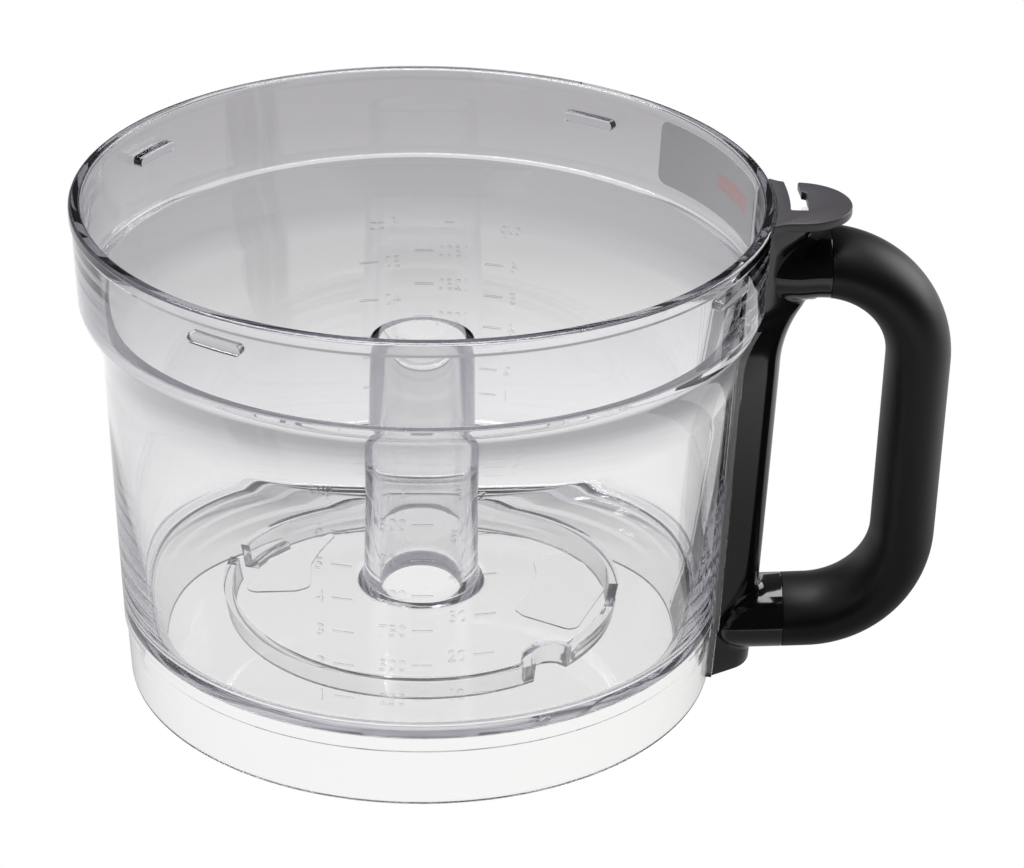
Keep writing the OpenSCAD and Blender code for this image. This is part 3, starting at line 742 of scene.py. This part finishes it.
def dashes(column, degrees):  # one column of marks
    half, tall, proud = scale["wide"] / 2, scale["dash"] / 2, scale["proud"]
    corners = [(-half, -tall, 0.2), (half, -tall, 0.2), (half, tall, 0.2), (-half, tall, 0.2)]
    outline = finer(roundLine(corners, 3))
    step = column["step"]
    first = scale["zero"] + step
    rings = []
    for lift, shrink in ((-scale["sunk"], 1.0), (proud - 0.1, 1.0), (proud, 0.86)):
        rings.append([onWall(u * (0.5 + shrink / 2), v * shrink, lift, degrees, first) for u, v in outline])
    away = bowlRadius(first + step) - bowlRadius(first)
    a = math.radians(degrees)
    offset = (away * math.cos(a) * mm, away * math.sin(a) * mm, step * mm)
    return grow(loft("dashes", rings), ladderTree(), {
        "Count": column["count"], "Step": offset, "Finish": clearFinish})


def word(text, degrees, z0, right):  # raised figures, their right edge at a distance from the line
    flat = bpy.data.curves.new("figures", "FONT")
    flat.body, flat.align_x, flat.resolution_u = text, "RIGHT", 3
    flat.size, flat.extrude = 1.0, 0.05
    piece = tidyNormals(plain(linked("figures", flat)))
    capital = 0.7  # its height in a font of size 1
    size = scale["digits"] / capital
    work = bmesh.new()
    work.from_mesh(piece.data)
    bmesh.ops.remove_doubles(work, verts=work.verts, dist=0.0004)
    bmesh.ops.triangulate(work, faces=work.faces)
    for vertex in work.verts:
        u, v = vertex.co.x * size - right, (vertex.co.y - capital / 2) * size
        w = scale["proud"] if vertex.co.z > 0 else -scale["sunk"]
        vertex.co = Vector(onWall(u, v, w, degrees, z0)) * mm
    bmesh.ops.recalc_face_normals(work, faces=work.faces)
    work.to_mesh(piece.data)
    work.free()
    return piece


def join(pieces):
    first = pieces[0]
    work = bmesh.new()
    for piece in pieces:
        work.from_mesh(piece.data)
    work.to_mesh(first.data)
    work.free()
    for piece in pieces[1:]:
        bpy.data.objects.remove(piece)
    return first


def scaleMarks(side):
    made = []
    for unit, column in columns.items():
        degrees = side + column["turn"]
        made.append(dashes(column, degrees))
        for i in range(1, column["count"] + 1):
            z = scale["zero"] + column["step"] * i
            made.append(word(str(column["each"] * i), degrees, z, column["right"]))
        made.append(word(unit, degrees, scale["unitsAt"], column["unitRight"]))
    return made


rail = {"half": 15, "width": 2.2, "height": 1.8, "low": 3, "top": 116}


def handleRails():
    heights = [rail["low"], bowl["skirtTop"], bowl["footHeight"], 40, 70]
    heights += [*range(97, 114, 2), 114.5, rail["top"]]
    line = [(bowlRadius(z) - 0.8, z) for z in heights]
    line += [(bowlRadius(z) + rail["height"], z) for z in heights[::-1]]
    start = math.degrees(math.asin((rail["half"] + 0.9) / bowl["wallTop"]))
    span = math.degrees(math.asin(rail["width"] / bowl["wallTop"]))
    return [turned("rail", line, 6, start, span), turned("rail", line, 6, -start - span, span)]


bosses = {  # posts on the wall for the handle's screws
    "radius": 1.9, "pilot": 1.15, "web": 1.2,
    "low": {"at": (90.4, 4.9), "foot": 4.2, "top": 14},
    "high": {"at": (100.2, 6.4), "foot": 130, "top": 140.3},
}


def boss(at, foot, top):
    made = rod("boss", at, bosses["radius"], foot, top, 40)
    half = bosses["web"]
    combine(made, block("web", (bowlRadius(foot) - 1.2, at[1] - half, foot), (at[0], at[1] + half, top)))
    return cut(made, rod("pilot", at, bosses["pilot"], foot - 1, top + 1, 40))


reliefs = (  # corners of the raised patches under the floor
    ((-46, 11.2), (-28.5, 30.6), (-27.3, 29.2), (-31.1, 18.1), (-33.2, 9.1), (-32.6, -5.7), (-36.6, -8.5),
     (-52.8, -10.8)),
    ((41.8, 19.5), (48.6, 12.3), (54.8, -4.5), (45.8, -29.4), (30.6, -20.6), (27.7, -16.6), (31.7, -8.9),
     (34.2, 5.6), (33.1, 15.2)),
)


def makeBowl():
    made = turned("bowlShell", bowlLine(), bowl["steps"], finish=clearFinish)
    marks = [mark for side in scale["sides"] for mark in scaleMarks(side)]
    combine(made, join(marks), solvers=("EXACT",))
    print("wall with its scale:", len(made.data.polygons), "faces")
    combine(made, ringParts())
    for corners in reliefs:
        line = roundLine([(x, y, 3) for x, y in corners])
        combine(made, prism("relief", line, underFloor - 0.5, underFloor + sunk))
    combine(made, lidRibs())
    for one in handleRails():
        combine(made, one)
    for one in (bosses["low"], bosses["high"]):
        combine(made, boss(one["at"], one["foot"], one["top"]))
    print("bowl shell:", len(made.data.polygons), "faces")
    paint(made, clearFinish)
    smooth(made, 30)
    exactNormals(made, bowlLine())
    return made


bowlShell = makeBowl()
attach(bowlShell, "bowl_assembly")
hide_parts("bowl")
print("bowl done")


handle = {
    "gap": 0.1, "noseRadius": 10.7, "depth": 11.8, "skin": 2, "lap": 3, "low": 0.8, "plate": 2.5,
    "lowHalf": 14.4, "highHalf": 16.5, "webHigh": 140.5, "rodAt": (91.6, -2.5),
    "channel": ((102.5, -5, 138), (132.5, 35, 158)),  # for the lid's tongue
    "pocket": ((98, -5, 122.5), (108.9, 0, 136.3)), "slot": ((105.9, -5, 122.5), (108.9, 0, 152.5)),
}
grip = {
    "upper": 130.1, "lower": 17.1, "x": 141.7, "bend": 28.9, "halfThickness": 9.3, "halfWidth": 15.2,
    "seamHigh": 115, "seamLow": 106.5, "slopeHigh": 4.23, "slopeLow": 3.72, "lean": 1.146,
    "lowStart": 110, "middle": 100, "sleeve": 1.6, "screwHigh": (105.6, 6), "screwLow": (94.9, 5),
}
upperSocket = {"at": 103, "narrow": 0.8, "flare": 2.2, "deep": 97.2, "rings": (111.2, 112.4, 113.6, 114.6)}
lowerSocket = {"at": 98, "narrow": 2.4, "flare": 2.6, "deep": 88.6, "rings": (106.1,)}
spineTop = bowl["rimHeight"] - 0.4 - handle["plate"]


def deg(function, degrees):  # the sine, cosine or tangent of degrees
    return function(math.radians(degrees))


def moved(at, run, heading):  # from a place, so far along a heading
    return at[0] + run * deg(math.cos, heading), at[1] + run * deg(math.sin, heading)


def corner(x0, z0, slope):  # where a sloping arm of the grip meets its leaning back
    t, s = deg(math.tan, grip["lean"]), deg(math.tan, slope)
    x = (grip["x"] + (z0 - x0 * s - grip["middle"]) * t) / (1 - t * s)
    return x, z0 + (x - x0) * s


bend, slopeHigh, slopeLow = grip["bend"], grip["slopeHigh"], grip["slopeLow"]
turnHigh = 90 + grip["lean"] + slopeHigh
turnLow = 90 - grip["lean"] - slopeLow
cornerHigh = corner(grip["seamHigh"], grip["upper"], slopeHigh)
cornerLow = corner(grip["lowStart"], grip["lower"], slopeLow)
startHigh = moved(cornerHigh, -bend * deg(math.tan, turnHigh / 2), slopeHigh)
startLow = moved(cornerLow, -bend * deg(math.tan, turnLow / 2), slopeLow)
centreHigh = (startHigh[0] + bend * deg(math.sin, slopeHigh), startHigh[1] - bend * deg(math.cos, slopeHigh))
centreLow = (startLow[0] - bend * deg(math.sin, slopeLow), startLow[1] + bend * deg(math.cos, slopeLow))


def highLine(x):  # the middle of the grip's upper arm
    if x < startHigh[0]:
        return startHigh[1] + (x - startHigh[0]) * deg(math.tan, slopeHigh)
    return centreHigh[1] + math.sqrt(bend ** 2 - (x - centreHigh[0]) ** 2)


def lowLine(x):
    return grip["lower"] + (x - grip["lowStart"]) * deg(math.tan, slopeLow)


def halfWidth(z):
    u = min(max((z - bowl["shoulderLow"]) / (bowl["shoulderTop"] - bowl["shoulderLow"]), 0), 1)
    return handle["lowHalf"] + (handle["highHalf"] - handle["lowHalf"]) * u


def section(z, inset):  # nose centre, nose radius, foot x, foot y, tangent angle
    around = bowlRadius(z)
    noseX, nose = around + handle["depth"] - handle["noseRadius"], handle["noseRadius"] - inset
    footY = halfWidth(z) - 1.3 * inset
    footX = math.sqrt((around + handle["gap"]) ** 2 - footY * footY)
    tangent = math.atan2(footY, footX - noseX) - math.acos(nose / math.hypot(footX - noseX, footY))
    return noseX, nose, footX, footY, tangent


def level(z, inset, steps=40):  # the spine's outline at a height, round its nose from flank to flank
    noseX, nose, footX, footY, tangent = section(z, inset)
    x0, y0 = noseX + nose * math.cos(tangent), nose * math.sin(tangent)
    reach = 1 + handle["lap"] / math.hypot(footX - x0, footY - y0)
    x1, y1 = x0 + (footX - x0) * reach, y0 + (footY - y0) * reach
    turns = [tangent * (2 * i / steps - 1) for i in range(steps + 1)]
    front = [(noseX + nose * math.cos(t), nose * math.sin(t)) for t in turns]
    flank = [(x0 + (x1 - x0) * i / 6, y0 + (y1 - y0) * i / 6) for i in range(1, 7)]
    return [(x, y, z) for x, y in [(x, -y) for x, y in flank[::-1]] + front + flank]


def spineX(y, z):  # how far out the spine's surface is
    noseX, nose, footX, footY, tangent = section(z, 0)
    w = min(abs(y), footY)
    x0, y0 = noseX + nose * math.cos(tangent), nose * math.sin(tangent)
    if w <= y0:
        return noseX + math.sqrt(nose * nose - w * w)
    return x0 + (footX - x0) * (w - y0) / (footY - y0)


def socketRing(u, centre, shape, sink, count=144):  # u is 1 on the spine and 0 at the socket's mouth
    made = []
    for i in range(count):
        a = 2 * math.pi * i / count
        y = (grip["halfWidth"] - shape["narrow"] * u * u * (3 - 2 * u)) * math.cos(a)
        flare = shape["flare"] * (1 - math.cos(math.pi / 2 * u))
        z = centre + (grip["halfThickness"] + flare) * math.sin(a)
        rise = (3 + 5 * math.cos(a) ** 2) * (1 - math.sin(math.pi / 2 * u))
        made.append((spineX(y, z) - sink + rise, y, z))
    return made


def ovalRing(x, centre, shrink=0.0, count=144):
    oval = ovalPoints(count, grip["halfWidth"] - shrink, grip["halfThickness"] - shrink, 0, centre)
    return [(x, y, z) for y, z in oval]


def socket(shape, armLine, seam):  # from inside the spine out to the grip's seam
    centre = armLine(shape["at"])
    inside = [(shape["deep"], y, z) for x, y, z in socketRing(1, centre, shape, 1)]
    rings = [inside, socketRing(1, centre, shape, 0.3)]
    rings += [socketRing(u / 24, centre, shape, 0) for u in range(22, -1, -2)]
    rings += [ovalRing(x, armLine(x)) for x in shape["rings"]]
    return loft("socket", [*rings, ovalRing(seam, armLine(seam), 0.25)])


def ovalBar(name, at, heading, start, end, inset):  # a straight bar in the handle's plane
    c, s = deg(math.cos, heading), deg(math.sin, heading)
    oval = ovalPoints(96, grip["halfThickness"] - inset, grip["halfWidth"] - inset)
    return loft(name, [
        [(at[0] + run * c - u * s, v, at[1] + run * s + u * c) for u, v in oval] for run in (start, end)])


def bowlRoom():  # the bowl's outside with the handle's gap round it
    gap, inside, below, above = handle["gap"], 60, -5, 160
    skirt, rim = bowl["skirtRadius"] + gap, bowl["rimRadius"] + gap
    line = [(inside, below), (skirt, below), (skirt, 0.6)]
    line += [(bowl["skirtTopRadius"] + gap, bowl["skirtTop"]), (bowl["wallFoot"] + gap, bowl["footHeight"])]
    line += [(r + gap, z) for r, z in shoulderOut[::-1]]
    line += [(bowl["collarTopRadius"] + gap, bowl["collarTop"] - gap), (rim, bowl["beadHeight"] - gap)]
    return turned("room", line + [(rim, above), (inside, above)], 288)


def makeSpine():
    low, seamHigh, seamLow = handle["low"], grip["seamHigh"], grip["seamLow"]
    heights = [low, low + 0.25, low + 0.7, 6, 12, bowl["skirtTop"], bowl["footHeight"]]
    heights += [26, 40, 55, 70, 85, 95, *range(97, 122), 122.5, 124, 130, 137, spineTop - 0.4, spineTop]
    shrink = {low: 0.55, low + 0.25: 0.16, spineTop: 0.25}  # its rounded ends
    made = loft("handleSpine", [level(z, shrink.get(z, 0)) for z in heights], finish=spineFinish)
    combine(made, socket(upperSocket, highLine, seamHigh))
    combine(made, socket(lowerSocket, lowLine, seamLow))
    hollow = [4, 10, bowl["skirtTop"], bowl["footHeight"], 30, 50, 75, 95]
    hollow += [*(97 + 1.5 * i for i in range(17)), 124, 132, handle["webHigh"]]
    cut(made, loft("hollow", [level(z, handle["skin"], 24) for z in hollow]))
    cut(made, bowlRoom())
    tilt = -math.degrees(math.asin((seamHigh - centreHigh[0]) / bend))
    cut(made, ovalBar("bore", (seamHigh, highLine(seamHigh)), tilt, -4.9, 2, 2))
    cut(made, ovalBar("bore", (seamLow, lowLine(seamLow)), slopeLow, -6.7, 2, 2))
    for name in ("channel", "pocket", "slot"):
        cut(made, block(name, *handle[name]))
    cut(made, rod("guideHole", handle["rodAt"], 3.05, -1, 7))
    return smooth(made, 34)


handleSpine = makeSpine()
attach(handleSpine, "bowl_assembly")
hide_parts("handle_spine")
print("spine done:", len(handleSpine.data.polygons), "faces")


def gripPath():  # (x, z) along the middle of the grip, from its upper seam to its lower one
    start = grip["seamHigh"] - 3  # just inside the seam
    upper = [start + (startHigh[0] - grip["seamHigh"] + 3) * i / 8 for i in range(8)]
    points = [(x, highLine(x)) for x in upper if x < startHigh[0]]
    points += [moved(centreHigh, bend, 90 + slopeHigh - turnHigh * i / 60) for i in range(61)]
    (x0, z0), (x1, z1) = points[-1], moved(centreLow, bend, -grip["lean"])
    points += [(x0 + (x1 - x0) * i / 24, z0 + (z1 - z0) * i / 24) for i in range(1, 24)]
    points += [moved(centreLow, bend, -grip["lean"] - turnLow * i / 60) for i in range(61)]
    points.append((grip["seamLow"] - 3, lowLine(grip["seamLow"] - 3)))
    return points


def makeGrip():
    points = [(x, 0, z) for x, z in gripPath()]
    base = meshPiece("gripSleeve", points, edges=[(i, i + 1) for i in range(len(points) - 1)])
    made = grow(base, gripTree(), {
        "Half width": grip["halfWidth"] * mm, "Half thickness": grip["halfThickness"] * mm,
        "Finish": gripFinish})
    tidyNormals(made, 0.001)
    wall = made.modifiers.new("wall", "SOLIDIFY")
    wall.thickness, wall.offset, wall.use_even_offset = grip["sleeve"] * mm, -1, True
    made = tidyNormals(plain(made))
    seam = 0.06  # between the sleeve's ends and the sockets
    cut(made, block("endHigh", (80, -30, 100), (grip["seamHigh"] + seam, 30, 170)))
    cut(made, block("endLow", (70, -30, -20), (grip["seamLow"] + seam, 30, 60)))
    return smooth(softenEdges(made, 0.3), 40)


gripSleeve = makeGrip()
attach(gripSleeve, "bowl_assembly")
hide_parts("grip_sleeve")
print("grip done:", len(gripSleeve.data.polygons), "faces")


plate = {
    "thick": handle["plate"], "noseX": 105.4, "noseRadius": 15, "rim": 99.15, "rimY": 17.55,
    "slotInner": 103, "slotOuter": 106.7, "notchRadius": 107.9, "notchY": 7.6, "endY": -5,
    "edge": 0.45, "pegs": ((101.5, -9.2), (99.7, 12)),
    "flank": ((104, 15.05), (102, 15.3), (100.2, 15.9), (98.6, 16.9)),
    "camPocket": (105.9, 108.9, 0.28, 1.8),  # its inner and outer x, its end in y and its height
}


def arcAt(radius, y0, y1, count):  # part of a circle about the bowl's axis, from one y to another
    a0, a1 = math.asin(y0 / radius), math.asin(y1 / radius)
    turns = [a0 + (a1 - a0) * i / count for i in range(count + 1)]
    return [(radius * math.cos(a), radius * math.sin(a)) for a in turns]


def plateOutline():
    flank, inner, notch = plate["flank"], plate["slotInner"], plate["notchRadius"]
    endY, notchY = plate["endY"], plate["notchY"]
    line = arcAt(plate["rim"], -plate["rimY"], plate["rimY"], 30)
    line += [flank[3], flank[2], (101.85, 15.32)]
    line += arcAt(inner, 14.9, endY + 0.9, 20)
    line += [(inner - 0.05, endY + 0.4), (inner + 0.35, endY), (notch - 0.4, endY)]
    line += arcAt(notch, endY + 0.35, notchY - 0.3, 12)
    line += [(107.3, notchY)]
    line += arcAt(plate["slotOuter"], notchY + 0.35, 14.5, 8)
    line += [(105.9, 14.95)]
    line += [moved((plate["noseX"], 0), plate["noseRadius"], 86.5 - 176.5 * i / 60) for i in range(61)]
    line += [(x, -y) for x, y in flank]
    return line[::-1]


def insetLine(line, distance):  # a closed line, moved in on its left or right by a distance
    made = []
    for i, point in enumerate(line):
        p = Vector(point)
        u = (p - Vector(line[i - 1])).normalized()
        v = (Vector(line[(i + 1) % len(line)]) - p).normalized()
        sideways = Vector((u.y + v.y, -u.x - v.x)).normalized()
        reach = distance / max(sideways.dot(Vector((u.y, -u.x))), 0.4)
        made.append(tuple(p + sideways * reach))
    return made


def makePlate():
    line = plateOutline()
    area = sum(line[i - 1][0] * line[i][1] - line[i][0] * line[i - 1][1] for i in range(len(line)))
    inward = -1 if area > 0 else 1
    edge, thick = plate["edge"], plate["thick"]
    profile = [(0, 0.25), (0.12, 0.07), (0.3, 0), (thick - edge, 0)]  # height and inset
    profile += [(thick - edge * 0.55, edge * 0.12), (thick - edge * 0.2, edge * 0.42), (thick, edge)]
    made = loft("lockPlate", [
        [(x, y, spineTop + z) for x, y in insetLine(line, inward * inset)] for z, inset in profile
    ], finish=plateFinish)
    for at in plate["pegs"]:
        combine(made, rod("peg", at, 0.9, spineTop - 3.2, spineTop + 1, 24))
    x0, x1, y, height = plate["camPocket"]
    cut(made, block("camPocket", (x0, plate["endY"] - 0.02, spineTop - 1), (x1, y, spineTop + height)))
    paint(made, plateFinish)
    return smooth(made, 28)


lockPlate = makePlate()
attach(lockPlate, "bowl_assembly")
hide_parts("lock_plate")
print("lock plate done:", len(lockPlate.data.polygons), "faces")


spring = {
    "turns": 8, "radius": 2.4, "wire": 0.3, "low": 13.85, "high": 38.65, "at": handle["rodAt"], "travel": 5,
}


def makeSpring():
    made = grow(meshPiece("returnSpring", []), coilTree(), {
        "Turns": float(spring["turns"]), "Radius": spring["radius"] * mm,
        "Height": (spring["high"] - spring["low"]) * mm, "Wire": spring["wire"] * mm, "Finish": springFinish})
    made.data.transform(Matrix.Translation(Vector((*spring["at"], spring["low"])) * mm))
    return tidyNormals(made)


returnSpring = makeSpring()
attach(returnSpring, "bowl_assembly")
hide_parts("return_spring")
foot = (spring["low"] - spring["wire"]) * mm
tall = (spring["high"] + spring["wire"]) * mm - foot
1 - spring["travel"] * mm / tall
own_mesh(returnSpring)


screw = {
    "radius": 1.1, "core": 0.82, "pitch": 0.9, "length": 11, "headRadius": 1.9, "head": 1.4,
    "drive": 1.1, "driveWidth": 0.48, "driveDepth": 0.75,
}


def screwBody():  # along +Z, with the underside of its head at the origin
    r, h, tip = screw["headRadius"], screw["head"], screw["length"]
    core, thread = screw["core"], screw["radius"]
    line = [(0.02, -h), (r - 0.5, -h), (r - 0.15, -h + 0.12), (r, -h + 0.45)]
    line += [(r, -0.08), (r - 0.08, 0), (thread, 0)]
    z = 0.6
    while z < tip - 0.8:
        line += [(core, z), (thread, z + 0.2), (thread, z + 0.3), (core, z + 0.5)]
        z += screw["pitch"]
    made = turned("screw", line + [(0.7, tip - 0.4), (0.3, tip), (0.02, tip)], 24)
    work = bmesh.new()
    work.from_mesh(made.data)
    holes = [e for e in work.edges if e.is_boundary]
    bmesh.ops.holes_fill(work, edges=holes)
    work.to_mesh(made.data)
    work.free()
    x, y = screw["drive"], screw["driveWidth"] / 2
    for degrees in (0, 90):
        cut(made, spun(block("drive", (-x, -y, -h - 1), (x, y, -h + screw["driveDepth"])), degrees))
    return smooth(made, 35)


def makeScrews():
    lowHead, highHead = handle["low"] + screw["head"] + 0.2, handle["webHigh"] + 1.1
    high, low = grip["screwHigh"], grip["screwLow"]
    places = [
        ((*bosses["high"]["at"], highHead), (0, 0, -1)), ((*bosses["low"]["at"], lowHead), (0, 0, 1)),
        ((*high, highLine(high[0])), (1, 0, 0)), ((*low, lowLine(low[0])), (1, 0, 0)),
    ]
    spots, headings = zip(*places)
    carried = ("heading", "FLOAT_VECTOR", headings)
    return copiesOn("handleScrews", spots, carried, screwBody(), headingTree(), screwFinish)


handleScrews = makeScrews()
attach(handleScrews, "bowl_assembly")
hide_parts("handle_screws")
print("spring and screws done:", len(handleScrews.data.polygons), "faces of screws")

for name, finish in {
    "blank_label": filmFinish, "grip_core": coreFinish, "actuator": paleFinish, "pushrod": paleFinish,
    "spring_clip": springFinish, "rod_guide": guideFinish,
}.items():
    for place in nodes[name].material_slots:
        place.material = finish


stage = {
    "floorRadius": 5.0, "glow": 1.0,
    # painted pool of light: the glow that rays through or off the plastic see on the floor, brightest round
    # the bowl and fading outwards
    "paintedPool": ((0.0, 1.03), (0.13, 1.01), (0.17, 0.93), (0.23, 0.79), (0.30, 0.60), (0.40, 0.51), (1.0, 0.50)),
    "paintedPoolCentre": (-0.06, 0.0, 0.0), "near": (1.0, 1.0, 0.985), "far": (1.0, 0.985, 1.01), "mirrored": 1.9,
    "shade": 0.38, "shadeStart": 0.11, "shadeEnd": 0.34,  # painted shadow: the floor that reflections see is darkened near the object and brightened further out
    "sky": ((0.0, 0.66), (0.27, 0.62), (0.36, 0.03), (0.80, 0.03), (1.0, 0.05)),
    "skyTint": (0.96, 0.97, 1.04), "beside": 0.60, "besideFrom": 0.28, "besideTo": 0.48,
    "ahead": 0.02, "behind": 0.10, "aheadTo": -0.2, "behindFrom": 0.8,
}
lamps = (
    {"name": "overhead", "at": (-0.15, 0.2, 0.95), "aim": (0, 0, 0.05), "size": (0.9, 0.7), "watts": 15},
    {"name": "rightRear", "at": (0.95, 0.62, 0.52), "aim": (0.14, 0, 0.11), "size": (0.7, 0.7), "watts": 7.5},
)
view = {
    "lens": 130.9885, "sensor": 36, "shift": (-0.029845, 0.019218),
    "at": (0.03502099, -0.96264972, 0.5579857),
    "right": (0.99975937, 0.00997387, 0.01953797), "up": (-0.0219365, 0.45456043, 0.89044573),
}


def floorFinish():
    look = Finish("floor")
    centred = look.node("ShaderNodeVectorMath", {"operation": "ADD"}, {0: look.place, 1: stage["paintedPoolCentre"]})
    away = look.node("ShaderNodeVectorMath", {"operation": "LENGTH"}, {0: centred}, output="Value")
    stops = []
    for place, shade in stage["paintedPool"]:
        far = min(place / 0.4, 1.0)
        stops.append((place, tuple(shade * (n + (f - n) * far) for n, f in zip(stage["near"], stage["far"]))))
    # painted pool of light: the floor glows brighter near the bowl for every ray but the camera's
    paintedPool = look.node("ShaderNodeValToRGB", {"stops": stops}, {0: away})
    mirrored = look.node("ShaderNodeLightPath", output="Is Reflection Ray")
    # painted shadow: for reflection rays the floor glow drops to the shade level near the object and rises to
    # the mirrored level further out
    shaded = look.between(away, stage["shadeStart"], stage["shadeEnd"], stage["shade"], stage["mirrored"])
    strength = 1 - mirrored + mirrored * shaded
    paintedFloorGlow = look.node("ShaderNodeEmission", sockets={"Color": paintedPool, "Strength": strength})
    bright = look.node("ShaderNodeEmission", sockets={"Color": (1, 1, 1, 1), "Strength": stage["glow"]})
    path = look.node("ShaderNodeLightPath", output="Is Camera Ray")
    return look.done(look.node("ShaderNodeMixShader", sockets={0: path, 1: paintedFloorGlow, 2: bright}))


def makeFloor():
    steps, level = 64, -0.3  # just under the foot
    rings = [0, 150, 400, 1000, 2500, stage["floorRadius"] * 1000]
    points, faces = [(0, 0, level)], []
    for radius in rings[1:]:
        points += [(x, y, level) for x, y in ovalPoints(steps, radius, radius)]
    for i in range(steps):
        j = (i + 1) % steps
        faces.append((0, 1 + i, 1 + j))
        for low in range(1, 1 + steps * (len(rings) - 2), steps):
            high = low + steps
            faces.append((low + i, high + i, high + j, low + j))
    meshPiece("floor", points, faces, floorFinish())


def makeWorld():
    world = bpy.data.worlds.new("studio")
    scene.world = world
    world.use_nodes = True
    world.node_tree.nodes.clear()
    tree = Tree(world.node_tree)
    x, y, z = tree.parts(tree.node("ShaderNodeTexCoord", output="Generated"))
    stops = [(place, (shade, shade, shade)) for place, shade in stage["sky"]]
    dark = tree.node("ShaderNodeValToRGB", {"stops": stops}, {0: z})
    aside = tree.between(tree.maths("ABSOLUTE", x), stage["besideFrom"], stage["besideTo"])
    through = dark * (1 - aside) + aside * stage["beside"]
    mirrored = tree.between(y, stage["aheadTo"], stage["behindFrom"], stage["ahead"], stage["behind"])
    path = tree.node("ShaderNodeLightPath", output="Is Camera Ray")
    passing = tree.other(path, "Is Transmission Ray") * (tree.other(path, "Diffuse Depth") < 0.5)
    strength = path + (1 - path) * (passing * through + (1 - passing) * mirrored)
    light = tree.node("ShaderNodeBackground", sockets={"Color": (*stage["skyTint"], 1), "Strength": strength})
    tree.node("ShaderNodeOutputWorld", sockets={"Surface": light})


def makeLamps():
    for one in lamps:
        light = bpy.data.lights.new(one["name"], "AREA")
        light.shape, light.size, light.size_y = "RECTANGLE", *one["size"]
        light.energy = one["watts"]
        lamp = linked(one["name"], light)
        lamp.location = one["at"]
        away = Vector(one["at"]) - Vector(one["aim"])
        lamp.rotation_euler = away.to_track_quat("Z", "Y").to_euler()
        lamp.visible_transmission = False  # its light already comes straight through the clear walls


def makeCamera():
    lens = bpy.data.cameras.new("camera")
    lens.lens, lens.sensor_width = view["lens"], view["sensor"]
    lens.shift_x, lens.shift_y = view["shift"]
    lens.clip_start, lens.clip_end = 0.05, 50
    camera = linked("camera", lens)
    right, up = Vector(view["right"]), Vector(view["up"])
    turn = Matrix((right, up, right.cross(up))).transposed()
    camera.matrix_world = Matrix.Translation(view["at"]) @ turn.to_4x4()
    scene.camera = camera


makeFloor()
makeWorld()
makeLamps()
makeCamera()
scene.view_settings.view_transform = "Standard"
scene.cycles.max_bounces = 32
scene.cycles.glossy_bounces = 24
scene.cycles.transmission_bounces = 32
scene.cycles.transparent_max_bounces = 32

print("scene done")
